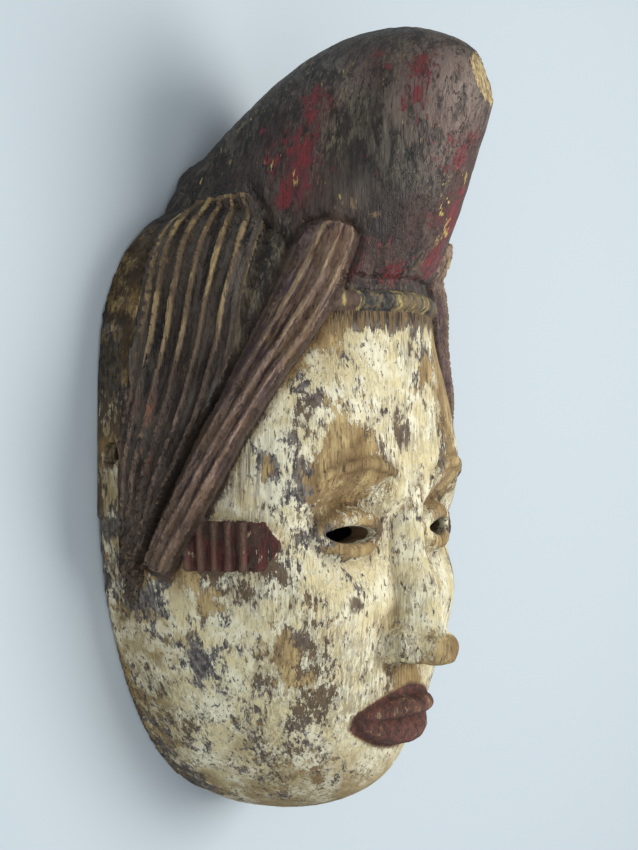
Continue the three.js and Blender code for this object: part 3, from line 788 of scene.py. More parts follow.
# %% Fringe and headband
ragged = np.zeros(len(points))
by_hairline = np.flatnonzero(on_face & (y > HAIRLINE_Y - 20))
ragged[by_hairline] = 5.0 * grain_noise(points[by_hairline], 5.5, 4, 3.0, 3)
fringe = smooth(HAIRLINE_Y - 10.0, HAIRLINE_Y + 1.0, y + ragged) * (1 - above_band) * (1 - hair)
fringe *= outer * smooth(38, 50, z)
BAND_HALF, BAND_DIP = 4.2, 0.004 * LENGTH
band = hump((y - BAND_Y + BAND_DIP * (x / (0.52 * HALF_WIDTH)) ** 2) / BAND_HALF, 1.0)
band = smooth(0.3, 0.5, band) * (side < 0.56 * HALF_WIDTH) * outer * (z > 60)
band *= smooth(0.5, 0.1, lock_share["front"])
print("band on", int((band > 0.5).sum()), "points")

# %% [markdown]
# The lips are painted to a line, and the break and the hollow were never painted at all. The
# lips' area is made of smooth functions, because a plain yes or no for each point would leave
# a stepped edge as coarse as the mesh.

# %% Lips, break and hollow
lip_height = 0.19 * THIRD * (1 - 0.75 * (side / MOUTH_HALF_WIDTH) ** 2)
lips = smooth(1.12, 0.86, np.abs(y - MOUTH_Y) / np.maximum(lip_height, 0.5)) * on_face
lips *= smooth(1.05, 0.95, side / MOUTH_HALF_WIDTH)
chip = spread(broken.astype(float), 2)
inside_wood = (~outer).astype(float)
print("lips on", int((lips > 0.5).sum()), "points")

# %% [markdown]
# ## Wear and stains, one place at a time
# An old mask is worn where hands and straps have rubbed it, and stained where smoke and damp
# have reached it. No rule gives those places, so each is a soft round patch, given one by one.
# Noise then breaks the patches up, and the left side gets its own few.


# %% Soft patches
def patch(px, py, pz, reach, strength=1.0):
    away = np.sqrt((x - px) ** 2 + ((y - py) / 1.3) ** 2 + (z - pz) ** 2)
    return strength * hump(away, reach)


def patches_of(*rows):
    """The strongest of several soft patches, each given by its place, reach and strength."""
    return np.max([patch(*row) for row in rows], axis=0)


uneven_wear = np.ones(len(points))
outer_points = np.flatnonzero(outer)
uneven_wear[outer_points] += 0.9 * grain_noise(points[outer_points], 13.0, 9, 1.6, 3)
print("wear varies from", round(uneven_wear.min(), 2), "to", round(uneven_wear.max(), 2))

# %% Patches of wear on the face
worn_to_wood = patches_of(
    (-38, -17, 90, 13, 1.0), (-47, -24, 86, 9, 0.9), (30, -20, 90, 12, 0.9),
    (10, 24, 95, 5, 1), (31, 14, 87, 15, 1.0), (29, 36, 87, 9, 1.0), (-39, 38, 80, 8, 0.8),
    (-62, -14, 73, 4, 0.8), (-52, 20, 76, 8, 0.55), (-73, -55, 42, 6, 0.7),
    (-50, -90, 74, 8, 0.6), (-70, -68, 48, 6, 0.5), (38, -95, 70, 14, 0.7),
    (-24, -131, 60, 9, 0.6))
undercoat_shows = patches_of(
    (-10, -1, 95, 6, 1), (-50, 10, 80, 5, 1), (-54, -2, 79, 4, 0.9), (-52, -22, 82, 6, 1),
    (-66, -89, 42, 8, 1), (-60, -56, 68, 9, 0.8), (-47, -84, 78, 9, 0.8), (-54, -100, 64, 6, 0.6),
    (-38, -122, 62, 6, 0.5), (-70, -48, 50, 7, 0.8), (3, 33, 95, 6, 0.7), (-60, -12, 76, 8, 0.7),
    (20, -8, 94, 9, 0.6), (-74, -70, 25, 7, 0.7), (-57, -126, 30, 9, 0.7), (-30, -60, 92, 6, 0.5),
    (48, -70, 76, 12, 0.8), (40, -8, 84, 9, 0.8), (-20, 8, 94, 4, 0.8), (-38, -101, 78, 5, 0.6))
rubbed_thin = patches_of(
    (-69, -14, 62, 13, 1), (-64, -50, 58, 13, 0.8), (-40, -38, 86, 9, 0.7),
    (-25, -100, 84, 10, 0.4), (60, -30, 66, 16, 0.8), (-68, 10, 62, 12, 0.8),
    (-34, -84, 86, 9, 0.4))
brown_stain = patches_of(
    (-73, -80, 24, 15, 1), (-68, -100, 14, 13, 0.9), (-47, -119, 50, 9, 0.8),
    (-30, -137, 46, 12, 0.8), (-42, 36, 80, 12, 0.9), (-70, -30, 62, 8, 0.5),
    (-75, -60, 38, 8, 0.7), (-10, -128, 60, 11, 0.6), (40, -110, 60, 18, 0.8),
    (70, -40, 40, 20, 0.7), (-56, 22, 72, 10, 0.6))
print("worn to wood:", round(float(worn_to_wood.mean()), 3))

# %% [markdown]
# Bare wood shows on what stands proud, the brows, the nose and the lower lids, and on the break.
# Stain and grime gather below the chin, along the rim, under the nose and under the band. What
# is left of the kaolin is then simply what none of these has taken.

# %% Bare wood, stain, grime and kaolin
brow_bare = hump(y - brow_height(side) + 2.5, 6.0) * hump(side - EYE_X, 15.0) * on_face
nose_tip = hump(np.hypot(x, y - NOSE_BASE_Y - 5), 7.0) * on_face * smooth(99, 104, z)
under_nose = hump(side, 11.0) * hump(y - NOSE_BASE_Y + 8, 8.0) * on_face
lower_lid = hump(y - EYE_Y + 6.5, 2.6) * hump(side - EYE_X, 12.0) * on_face
bare_wood = np.maximum(worn_to_wood * outer, 0.45 * brow_bare) * np.clip(uneven_wear, 0.3, 1.5)
bare_wood = np.clip(bare_wood + nose_tip + 0.7 * under_nose + 0.55 * lower_lid + chip, 0, 1)
low_face = smooth(-118, -152, y)
near_rim = smooth(34, 8, z) * outer
rim_upper = smooth(30, 14, z) * (0.25 + 0.75 * smooth(-15, 35, y)) * outer
stain = np.clip((np.maximum(brown_stain, 0.95 * low_face) + 0.55 * near_rim
                 + 0.8 * under_nose) * uneven_wear, 0, 1) * outer
grime = np.clip(0.25 * low_face + 0.45 * near_rim + 0.6 * under_nose
                + 0.6 * hump(y - HAIRLINE_Y + 1, 5.0) + 0.35 * smooth(30, 60, x), 0, 1) * outer
cheek = hump(y + 72, 46) * smooth(88, 78, z) * smooth(16, 30, z)
white = np.clip(outer * (1 - hair) * (1 - fringe) * (1 - 0.9 * bare_wood) * (1 - 0.10 * cheek)
                * (1 - 0.6 * rim_upper) * (1 - 0.5 * undercoat_shows * uneven_wear), 0, 1)
print("kaolin on", int((white > 0.5).sum()), "points, bare wood on", int((bare_wood > 0.5).sum()))

# %% [markdown]
# The crest was red once. Red is left in patches on its flanks and along its front. A pale pink
# painted highlight lies over its tip, and pale grey-green patches on its left side are partly
# weathered paint and partly painted sheen. Dark patches lie lower on it, and small chips show
# pale wood. The ribs of the fan are rubbed to ochre at the top, and a little orange shows low
# on them.

# %% Patches on the crest and the locks
crest_red = patches_of(
    (-31, 124, 71, 9, 1), (-35, 108, 66, 11, 0.9), (-38, 94, 65, 10, 1), (-21, 134, 112, 9, 0.8),
    (0, 108, 119, 13, 0.8), (12, 85, 108, 13, 1), (8, 68, 99, 11, 1), (-13, 61, 93, 8, 0.7),
    (15, 100, 106, 10, 0.9), (-5, 142, 108, 7, 0.8), (-20, 127, 108, 7, 0.7), (0, 88, 111, 8, 0.6),
    (-22, 141, 92, 8, 0.5), (-12, 122, 116, 8, 0.7), (30, 100, 80, 14, 0.9), (28, 130, 90, 10, 0.7),
    (-25, 61, 87, 8, 0.6), (-38, 74, 86, 5, 0.6), (-4, 112, 117, 15, 0.45), (-8, 80, 104, 12, 0.5),
    (-37, 112, 62, 16, 0.5), (36, 70, 40, 12, 0.6), (0, 150, 60, 12, 0.5))
# grey-green patches on the crest's left side: partly weathered paint, partly painted sheen
crest_pale = patches_of(
    (-32, 113, 82, 8, 0.9), (-29, 127, 81, 8, 0.7), (-18, 145, 101, 9, 0.8),
    (-28, 113, 98, 12, 0.5), (-49, 70, 60, 9, 0.9), (-54, 52, 60, 9, 1), (-60, 34, 58, 8, 0.8),
    (-8, 132, 120, 9, 0.9), (20, 120, 105, 12, 0.6))
# painted highlight: a pale pink haze over the crest's tip
crest_pink_highlight = patches_of(
    (-17, 133, 119, 15, 1), (-8, 122, 124, 10, 0.8), (-24, 124, 108, 9, 0.6),
    (12, 136, 118, 12, 0.7), (-30, 140, 84, 9, 0.6), (24, 124, 100, 12, 0.5),
    (-12, 112, 117, 9, 0.5), (-28, 88, 88, 7, 0.4))
crest_dark = patches_of(
    (-34, 117, 52, 15, 1), (-22, 80, 99, 14, 0.8), (-39, 96, 30, 12, 0.7), (30, 84, 90, 14, 0.7),
    (36, 112, 50, 14, 0.8), (-30, 100, 92, 9, 0.6))
crest_chips = patches_of(
    (4, 80, 106, 7, 1), (-4, 89, 109, 5, 0.8), (-38, 97, 65, 4, 1), (-30, 126, 36, 4, 1),
    (-38, 104, 54, 4, 1), (-25, 121, 101, 3, 0.7), (2, 66, 97, 5, 0.9), (-44, 74, 76, 4, 0.8),
    (8, 100, 112, 5, 0.8), (30, 110, 80, 5, 0.8))
rib_ochre = smooth(5, 70, y) * (1 - 0.5 * smooth(20, 26, degrees))
orange_stain = patches_of((-84, 6, 31, 4.5, 0.9), (-82, -12, 30, 3.0, 0.7))
orange_stain *= smooth(0.8, 0.3, flute)
lock_top = patches_of((-38, 75, 87, 11, 1), (38, 75, 87, 11, 1), (-47, 66, 78, 6, 0.6))
print("red on", int((crest_red > 0.5).sum()), "points")

# %% [markdown]
# Each area goes on the mesh as a named attribute, one number for each point. Painted images
# would need an unwrapping of this whole form and a size in pixels, while an attribute is read
# by its name in the material and blends over the faces by itself.

# %% Store the areas on the mesh
AREAS = dict(
    hair=hair, ridge=ridge, band=band, fringe=fringe, lips=lips, temple=temple_inside,
    bare_wood=bare_wood, chip=chip, grime=grime, white=white, hollow=inside_wood,
    edge_wear=edge_wear, recess=recess, groove=groove, stain=stain, thin=rubbed_thin,
    flute=flute, rim_dark=rim_upper, undercoat=undercoat_shows * outer, crest_red=crest_red,
    crest_pale=crest_pale, crest_pink_highlight=crest_pink_highlight, crest_dark=crest_dark,
    crest_chips=crest_chips, rib_ochre=rib_ochre, orange=orange_stain,
    front_lock=lock_share["front"], lock_top=lock_top,
    locks=np.maximum(lock_share["front"], lock_share["back"]),
    strand_along=strand_along, strand_across=(strand_across + 1.5) / 3)
for name, values in AREAS.items():
    layer = fine.attributes.new(name, "FLOAT", "POINT")
    layer.data.foreach_set("value", np.clip(values, 0, 1).astype(np.float32))
print("areas:", ", ".join(f"{name} {values.mean():.2f}" for name, values in AREAS.items()))

# %% [markdown]
# The mask is one block, so one piece stands for the whole CAD node and rides the only body.
# Its faces are shaded smooth, because at this size the mesh itself holds every sharp ridge.

# %% Finish the mesh
for polygon in fine.polygons:
    polygon.use_smooth = True
mask.data.name = "carved_mask"
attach(mask, "root")
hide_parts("mask")
print("finished mesh:", mask.data.name, "with", len(fine.polygons), "faces")

# %% [markdown]
# ## A small kit for materials
# A node tree is easier to read as sums than as wires. These little classes add a node and hand
# back its output, and take either a number or another output wherever a value goes.


# %% Adding nodes and wiring them
class Wires:
    def __init__(self, tree):
        self.tree = tree

    def node(self, kind, **settings):
        made = self.tree.nodes.new(kind)
        for name, value in settings.items():
            setattr(made, name, value)
        return made

    def put(self, socket, value):
        if isinstance(value, bpy.types.NodeSocket):
            self.tree.links.new(value, socket)
        elif isinstance(value, (tuple, list)) and socket.type == "RGBA":
            socket.default_value = (*value[:3], 1.0)
        else:
            socket.default_value = value

    def area(self, name):
        return self.node("ShaderNodeAttribute", attribute_name=name).outputs["Fac"]

    def use(self, group, **values):
        made = self.node("ShaderNodeGroup", node_tree=group)
        for name, value in values.items():
            self.put(made.inputs[name.replace("_", " ")], value)
        return made.outputs


print("for wires:", ", ".join(name for name in vars(Wires) if name[0] != "_"))


# %% Sums of nodes
class Sums(Wires):
    def maths(self, operation, *values, clamp=False):
        made = self.node("ShaderNodeMath", operation=operation, use_clamp=clamp)
        for socket, value in zip(made.inputs, values):
            self.put(socket, value)
        return made.outputs[0]

    def times(self, product, *others):
        for other in others:
            product = self.maths("MULTIPLY", product, other)
        return product

    def grow(self, value, factor, start):
        """The value times a factor, plus a start."""
        return self.maths("MULTIPLY_ADD", value, factor, start)

    def most(self, first, second):
        return self.maths("MAXIMUM", first, second)

    def step(self, value, low, high, to_low=0.0, to_high=1.0):
        made = self.node("ShaderNodeMapRange", interpolation_type="SMOOTHSTEP")
        for socket, number in zip(made.inputs, (value, low, high, to_low, to_high)):
            self.put(socket, number)
        return made.outputs[0]


print("for sums:", ", ".join(name for name in vars(Sums) if name[0] != "_"))


# %% Colours and noise
class Tree(Sums):
    def mix(self, share, first, second, blend="MIX"):
        made = self.node("ShaderNodeMix", data_type="RGBA", blend_type=blend)
        self.put(made.inputs[0], share)
        self.put(made.inputs[6], first)
        self.put(made.inputs[7], second)
        return made.outputs[2]

    def two_tone(self, noise_value, low, high, first, second):
        """Two colours, with the noise deciding which one shows."""
        return self.mix(self.step(noise_value, low, high), first, second)

    def fleck(self, colour, noise_value, low, high, tint, strength=1.0):
        """The colour, flecked with a tint where the noise is high."""
        return self.mix(self.step(noise_value, low, high, 0.0, strength), colour, tint)

    def place(self, stretch=(1.0, 1.0, 1.0), turn=(0.0, 0.0, 0.0), shift=(0.0, 0.0, 0.0)):
        where = self.node("ShaderNodeTexCoord").outputs["Object"]
        made = self.node("ShaderNodeMapping")
        self.put(made.inputs["Vector"], where)
        made.inputs["Location"].default_value = shift
        made.inputs["Rotation"].default_value = turn
        made.inputs["Scale"].default_value = stretch
        return made.outputs[0]

    def cloud(self, where, size, detail=4.0, rough=0.55, warp=0.0):
        """Noise whose features are this many millimetres wide."""
        made = self.node("ShaderNodeTexNoise")
        self.put(made.inputs["Vector"], where)
        made.inputs["Scale"].default_value = 1000.0 / size
        made.inputs["Detail"].default_value = detail
        made.inputs["Roughness"].default_value = rough
        made.inputs["Distortion"].default_value = warp
        return made.outputs[0]


print("for colours and noise:", ", ".join(name for name in vars(Tree) if name[0] != "_"))


# %% A new group of nodes
def new_group(name, inputs, outputs):
    group = bpy.data.node_groups.new(name, "ShaderNodeTree")
    for label, start in inputs.items():
        socket = group.interface.new_socket(
            label, in_out="INPUT", socket_type="NodeSocketFloat")
        socket.default_value = start
    for label, kind in outputs.items():
        group.interface.new_socket(label, in_out="OUTPUT", socket_type=kind)
    tree = Tree(group)
    return group, tree, tree.node("NodeGroupInput").outputs, tree.node("NodeGroupOutput").inputs


FLOAT, COLOUR = "NodeSocketFloat", "NodeSocketColor"
print("kinds of socket:", FLOAT, COLOUR)

# %% [markdown]
# ## Wood
# The mask is cut from a light, ochre wood whose grain runs from the chin to the crest. The
# grain is noise drawn out along Y: broad bands, fine dark fibres, and short open pores.

# %% The wood group
wood_group, tree, given, result = new_group(
    "streaked_wood", {"Darkness": 0.3}, {"Color": COLOUR, "Height": FLOAT})
bands = tree.cloud(tree.place((1, 0.16, 1)), 9.0, 3, 0.5, 0.4)
fibres = tree.cloud(tree.place((1, 0.05, 1)), 1.6, 3, 0.6)
pores = tree.step(tree.cloud(tree.place((1, 0.09, 1), shift=(0.3, 0.1, 0.2)), 0.9, 2, 0.5),
                  0.60, 0.70)
light_wood, dark_wood = (0.50, 0.375, 0.175), (0.26, 0.175, 0.075)
colour = tree.two_tone(bands, 0.35, 0.68, light_wood, dark_wood)
colour = tree.fleck(colour, fibres, 0.42, 0.66, (0.21, 0.135, 0.06), 0.8)
colour = tree.mix(tree.times(pores, 0.8), colour, (0.06, 0.038, 0.022))
colour = tree.mix(given["Darkness"], colour, (0.085, 0.045, 0.022))
tree.put(result["Color"], colour)
height = tree.maths("SUBTRACT", tree.times(fibres, 0.5), pores)
tree.put(result["Height"], height)
print("group:", wood_group.name)

# %% [markdown]
# ## Old paint
# Paint on wood leaves in flakes: whole patches first, then ragged chips along their edges,
# then specks along the grain. The group adds three sizes of noise and cuts the sum at a level.
# The level comes from how much paint is left, so the same group serves every coat, with its
# own cover and sizes. It also gives the thin line of the coat's broken edge.

# %% The flaking group
flake_group, tree, given, result = new_group(
    "flaking_paint", {"Cover": 0.5, "Seed": 0.0, "Sharpness": 0.05},
    {"Paint": FLOAT, "Edge": FLOAT, "Height": FLOAT})
shift = tree.node("ShaderNodeCombineXYZ")
for k in range(3):
    tree.put(shift.inputs[k], given["Seed"])


def shifted(stretch):
    where = tree.node("ShaderNodeVectorMath", operation="ADD")
    tree.put(where.inputs[0], tree.place(stretch))
    tree.put(where.inputs[1], shift.outputs[0])
    return where.outputs[0]


patches = tree.cloud(shifted((1, 0.8, 1)), 19.0, 3, 0.6, 0.6)
chips = tree.cloud(shifted((1, 0.6, 1)), 5.0, 5, 0.7, 0.5)
specks = tree.cloud(shifted((1, 0.22, 1)), 1.3, 3, 0.7)
total = tree.times(patches, 0.33)
total = tree.grow(chips, 0.39, total)
total = tree.grow(specks, 0.28, total)
level = tree.grow(given["Cover"], -0.34, 0.67)
above = tree.maths("SUBTRACT", total, level)
paint = tree.step(above, 0.0, given["Sharpness"])
tree.put(result["Paint"], paint)
tree.put(result["Edge"], tree.times(paint, tree.step(above, 0.045, 0.0)))
tree.put(result["Height"], tree.step(above, 0.0, 0.03))
print("group:", flake_group.name)

# %% [markdown]
# ## The painted wood
# The coats go on in the order of the real ones. Bare wood lies below, then a grey-violet
# undercoat, then cream kaolin that is thick in places and rubbed thin along the grain in
# others. The hair has a dark coat over grey, with its ribs worn to the wood. The crest has
# patches of dark red. Brown dirt from handling and smoke comes last, thickest in the recesses,
# near the rim and under the chin.

# %% The patterns that the coats share
painted = bpy.data.materials.new("painted_wood")
painted.use_nodes = True
painted.node_tree.nodes.clear()
tree = Tree(painted.node_tree)
area = {name: tree.area(name) for name in AREAS}
streaks = tree.cloud(tree.place((1, 0.06, 1)), 1.2, 3, 0.65)
fibre = tree.cloud(tree.place((1, 0.12, 1), shift=(0.9, 0.1, 0.4)), 0.9, 2, 0.6)
mottle = tree.cloud(tree.place(shift=(0.4, 0.2, 0.1)), 12.0, 4, 0.62)
tint = tree.cloud(tree.place((1, 0.6, 1), shift=(0.7, 0.3, 0.9)), 28.0, 3, 0.55)
specks = tree.cloud(tree.place((1, 0.5, 1), shift=(0.1, 0.8, 0.2)), 2.0, 4, 0.7)
dots = tree.cloud(tree.place((1, 0.45, 1), shift=(0.6, 0.6, 0.1)), 1.3, 2, 0.5)
patchy = tree.step(mottle, 0.36, 0.56, 0.35, 1.0)
print("shared patterns: streaks, fibre, mottle, tint, specks, dots")

# %% [markdown]
# On the locks the paint cracks and rubs off along the strands. Noise on Object coordinates can't
# turn with them, so this one reads each point's own place on its lock, which the mesh carries.

# %% Strands, scuffs and cracks
STRAND_WIDTH, STRAND_LENGTH = 0.027, 0.012  # how wide and how long a lock is for the noise
strands = tree.node("ShaderNodeCombineXYZ")
tree.put(strands.inputs[0], tree.times(area["strand_across"], STRAND_WIDTH))
tree.put(strands.inputs[1], tree.times(area["strand_along"], STRAND_LENGTH))
tree.put(strands.inputs[2], area["front_lock"])
strand = tree.cloud(strands.outputs[0], 1.6, 4, 0.65, 0.2)
scuffs = tree.cloud(tree.place((1, 0.35, 1), shift=(0.8, 0.3, 0.6)), 5.0, 5, 0.72, 0.4)
scuffs = tree.grow(area["locks"], tree.maths("SUBTRACT", strand, scuffs), scuffs)
split = tree.cloud(tree.place((1, 0.13, 1), shift=(0.2, 0.5, 0.7)), 4.0, 3, 0.6, 0.3)
cracks = tree.times(tree.step(split, 0.475, 0.5), tree.step(split, 0.525, 0.5),
                    tree.step(mottle, 0.42, 0.52))
place = tree.node("ShaderNodeSeparateXYZ")
tree.put(place.inputs[0], tree.node("ShaderNodeTexCoord").outputs["Object"])
from_middle, up_mask = place.outputs[0], place.outputs[1]
print("nodes so far:", len(painted.node_tree.nodes))

# %% [markdown]
# The undercoat is a thin wash of grey-violet with brown in it, and it shows wherever the
# kaolin has gone. It has flaked too, most where the wood was rubbed bare, so its cover falls
# with that area. The rim's upper part is darkened by hands, patchily, by multiplying.

# %% Wood and undercoat
wood = tree.use(wood_group, Darkness=tree.step(mottle, 0.42, 0.72, 0.05, 0.5))
colour = wood["Color"]
height = tree.times(wood["Height"], 0.3)

under_cover = tree.grow(area["bare_wood"], -0.80, 0.66)
under_cover = tree.grow(area["undercoat"], 0.40, under_cover)
under = tree.use(flake_group, Cover=under_cover, Seed=1.7, Sharpness=0.05)
under_colour = tree.two_tone(specks, 0.38, 0.62, (0.050, 0.042, 0.040), (0.185, 0.163, 0.145))
under_colour = tree.fleck(under_colour, tint, 0.48, 0.6, (0.125, 0.086, 0.050))
under_colour = tree.fleck(under_colour, fibre, 0.5, 0.62, (0.045, 0.034, 0.028), 0.55)
colour = tree.mix(under["Paint"], colour, under_colour)
dark_rim = (0.40, 0.36, 0.27)
colour = tree.mix(tree.times(area["rim_dark"], patchy), colour, dark_rim, "MULTIPLY")
print("undercoat laid")

# %% [markdown]
# Kaolin is thickest on the forehead and the cheeks. Where hands and time have rubbed it, it
# stays only between the fibres, so its cover there is cut by fine noise along the grain. Small
# dark pits and cracks run all over it.

# %% How much kaolin is left
cover = tree.times(area["white"], 0.72)
cover = tree.grow(area["edge_wear"], -0.22, cover)
cover = tree.maths("MULTIPLY_ADD", area["grime"], -0.10, cover, clamp=True)
kaolin = tree.use(flake_group, Cover=cover, Seed=4.1, Sharpness=0.012)
rub = tree.most(area["thin"], tree.step(tint, 0.50, 0.62, 0.12, 0.6))
thin = tree.times(rub, tree.step(streaks, 0.44, 0.58))
pits = tree.times(tree.step(dots, 0.61, 0.67), tree.step(mottle, 0.56, 0.44, 0.25, 1.0))
loss = tree.most(tree.times(thin, 0.85), tree.times(pits, 0.85))
white_share = tree.times(kaolin["Paint"], tree.maths("SUBTRACT", 1.0, loss),
                         tree.step(area["white"], 0.1, 0.35))
height = tree.maths("ADD", tree.times(kaolin["Height"], white_share), height)
print("kaolin's share set, nodes so far:", len(painted.node_tree.nodes))

# %% The kaolin's own colours
cream = tree.two_tone(mottle, 0.40, 0.60, (0.700, 0.655, 0.475), (0.610, 0.525, 0.305))
cream = tree.fleck(cream, specks, 0.50, 0.72, (0.36, 0.31, 0.20), 0.7)
rubbed_cream, broken_edge = (0.38, 0.36, 0.30), (0.78, 0.76, 0.66)
smoke_brown = (0.31, 0.225, 0.105)
cream = tree.mix(tree.times(area["thin"], tree.step(fibre, 0.42, 0.6)), cream, rubbed_cream)
cream = tree.mix(tree.times(kaolin["Edge"], 0.4), cream, broken_edge)
cream = tree.mix(tree.times(area["stain"], patchy), cream, smoke_brown)
colour = tree.mix(white_share, colour, cream)
print("kaolin laid")

# %% [markdown]
# The hair is a thin dark coat, almost black, with grey-green that is partly weathered paint and
# partly painted sheen. The middle of each of the fan's flutes gets a grey painted sheen, in
# patches. The crest's tip gets a pale pink painted highlight, and dark patches lie lower on the
# crest. Fine splits run along the grain of the crest.

# %% The dark coat
on_hair = tree.step(area["hair"], 0.35, 0.6)
high = tree.step(up_mask, 0.060, 0.085)
low_locks = tree.times(tree.step(up_mask, -0.010, -0.055), area["locks"])
dark = tree.two_tone(scuffs, 0.42, 0.59, (0.012, 0.010, 0.009), (0.118, 0.104, 0.090))
dark = tree.fleck(dark, tint, 0.46, 0.58, (0.060, 0.040, 0.030), 0.75)
dark = tree.fleck(dark, streaks, 0.50, 0.60, (0.014, 0.011, 0.010), 0.7)
dusty_brown = (0.120, 0.076, 0.050)
dark = tree.mix(tree.times(low_locks, tree.step(scuffs, 0.36, 0.56, 0.2, 0.9)), dark, dusty_brown)
# the grey-green is partly weathered paint and partly painted sheen on the crest's left side
weathered_and_sheen = tree.two_tone(fibre, 0.40, 0.62, (0.055, 0.048, 0.034), (0.270, 0.240, 0.160))
pale = tree.most(tree.times(area["crest_pale"], tree.step(scuffs, 0.40, 0.54)),
                 tree.times(tree.step(specks, 0.52, 0.64), tree.step(tint, 0.56, 0.42)))
dark = tree.mix(tree.times(pale, 0.85), dark, weathered_and_sheen)
# painted highlight: the crest's tip is lightened to a pale pink
pink_highlight = tree.times(area["crest_pink_highlight"], tree.step(scuffs, 0.40, 0.52, 0.25, 1.0))
dark = tree.mix(tree.times(pink_highlight, 0.92), dark, (0.300, 0.238, 0.218))
# dark patches on the crest's lower part and middle
dark = tree.mix(tree.times(area["crest_dark"], 0.75), dark, (0.016, 0.013, 0.013))
# painted sheen: the middle of each flute is lightened to grey, in patches
flute_sheen = tree.times(area["flute"], tree.step(scuffs, 0.42, 0.54, 0.0, 0.75))
dark = tree.mix(flute_sheen, dark, (0.130, 0.118, 0.108))
print("dark coat mixed")

# %% [markdown]
# The front lock was painted a purple-brown of its own, with violet left in its upper half and
# dusty wood at its rounded tip.

# %% The front lock's coat
purple = tree.two_tone(scuffs, 0.42, 0.58, (0.056, 0.032, 0.034), (0.345, 0.255, 0.205))
purple = tree.fleck(purple, mottle, 0.46, 0.60, (0.210, 0.145, 0.085), 0.8)
violet = tree.times(tree.step(tint, 0.40, 0.50), tree.step(specks, 0.56, 0.46, 0.1, 0.9),
                    tree.step(up_mask, -0.010, 0.040, 0.25, 1.0))
purple = tree.mix(violet, purple, (0.100, 0.066, 0.098))
purple = tree.fleck(purple, specks, 0.52, 0.64, (0.030, 0.019, 0.016), 0.7)
purple = tree.mix(tree.times(low_locks, 0.6), purple, (0.125, 0.092, 0.066))
worn_tip = (0.420, 0.310, 0.235)
purple = tree.mix(tree.times(area["lock_top"], tree.step(scuffs, 0.36, 0.5)), purple, worn_tip)
dark = tree.mix(tree.times(area["front_lock"], 0.95), dark, purple)
print("front lock's coat mixed")

# %% Lay the hair's coats
dark = tree.mix(tree.times(cracks, high), dark, (0.010, 0.008, 0.007))
hair_coat = tree.use(flake_group, Cover=0.84, Seed=4.1, Sharpness=0.05)
hair_under = tree.two_tone(streaks, 0.42, 0.6, (0.260, 0.185, 0.090), (0.075, 0.050, 0.034))
colour = tree.mix(on_hair, colour, hair_under)
colour = tree.mix(tree.times(on_hair, hair_coat["Paint"]), colour, dark)
on_locks = tree.times(on_hair, area["locks"])
off_locks = tree.maths("SUBTRACT", on_hair, on_locks)
colour = tree.mix(off_locks, colour, (0.84, 0.78, 0.70), "MULTIPLY")
colour = tree.mix(on_locks, colour, (0.99, 0.91, 0.82), "MULTIPLY")
print("hair laid")

# %% [markdown]
# A rib's top is what a hand rubs first, so the ribs show wood: ochre on the upper fan, brown
# below. The mesh says where the ribs are, and the flaking group breaks their lines up.

# %% Worn ribs
rib_cover = tree.use(flake_group, Cover=tree.grow(area["rib_ochre"], 0.28, 0.61),
                     Seed=4.1, Sharpness=0.06)
worn_rib = tree.times(tree.step(area["ridge"], 0.3, 0.7), rib_cover["Paint"])
rib_tan = tree.two_tone(scuffs, 0.40, 0.56, (0.50, 0.370, 0.165), (0.190, 0.128, 0.070))
rib_brown = tree.two_tone(scuffs, 0.40, 0.56, (0.255, 0.170, 0.115), (0.105, 0.068, 0.052))
rib_colour = tree.mix(area["rib_ochre"], rib_brown, rib_tan)
colour = tree.mix(tree.times(worn_rib, 0.9), colour, rib_colour)
orange = tree.times(area["orange"], tree.step(specks, 0.40, 0.52))
colour = tree.mix(orange, colour, (0.30, 0.135, 0.080))
print("ribs worn")

# %% [markdown]
# Red pigment lies on the crest in patches that are drawn out along the grain: a faint flush
# first, then flakes of the full red. Small chips show pale wood.

# %% Red and chips on the crest
on_crest_red = tree.times(on_hair, tree.step(up_mask, 0.050, 0.056))
flush = tree.times(area["crest_red"], on_crest_red, 0.5,
                   tree.step(scuffs, 0.38, 0.56, 0.35, 1.0))
colour = tree.mix(flush, colour, (0.120, 0.032, 0.030))
red_cover = tree.grow(area["crest_red"], 0.42, 0.235)
red_coat = tree.use(flake_group, Cover=red_cover, Seed=11.9, Sharpness=0.03)
red_colour = tree.two_tone(scuffs, 0.40, 0.60, (0.215, 0.021, 0.025), (0.070, 0.015, 0.017))
red_share = tree.times(red_coat["Paint"], on_crest_red, 0.88,
                       tree.step(fibre, 0.36, 0.52, 0.45, 1.0))
colour = tree.mix(red_share, colour, red_colour)
chip_coat = tree.use(flake_group, Cover=tree.grow(area["crest_chips"], 0.33, 0.17),
                     Seed=1.7, Sharpness=0.02)
chips = tree.times(chip_coat["Paint"], on_hair, high)
colour = tree.mix(chips, colour, (0.46, 0.33, 0.10))
print("crest painted")

# %% [markdown]
# The temple marks are oxblood over brown, worn on the ribs. The lips are a browner red with a
# thin line of ochre wood round them. Coats that never lie over each other share one seed, and
# Cycles then works their noise out only once.

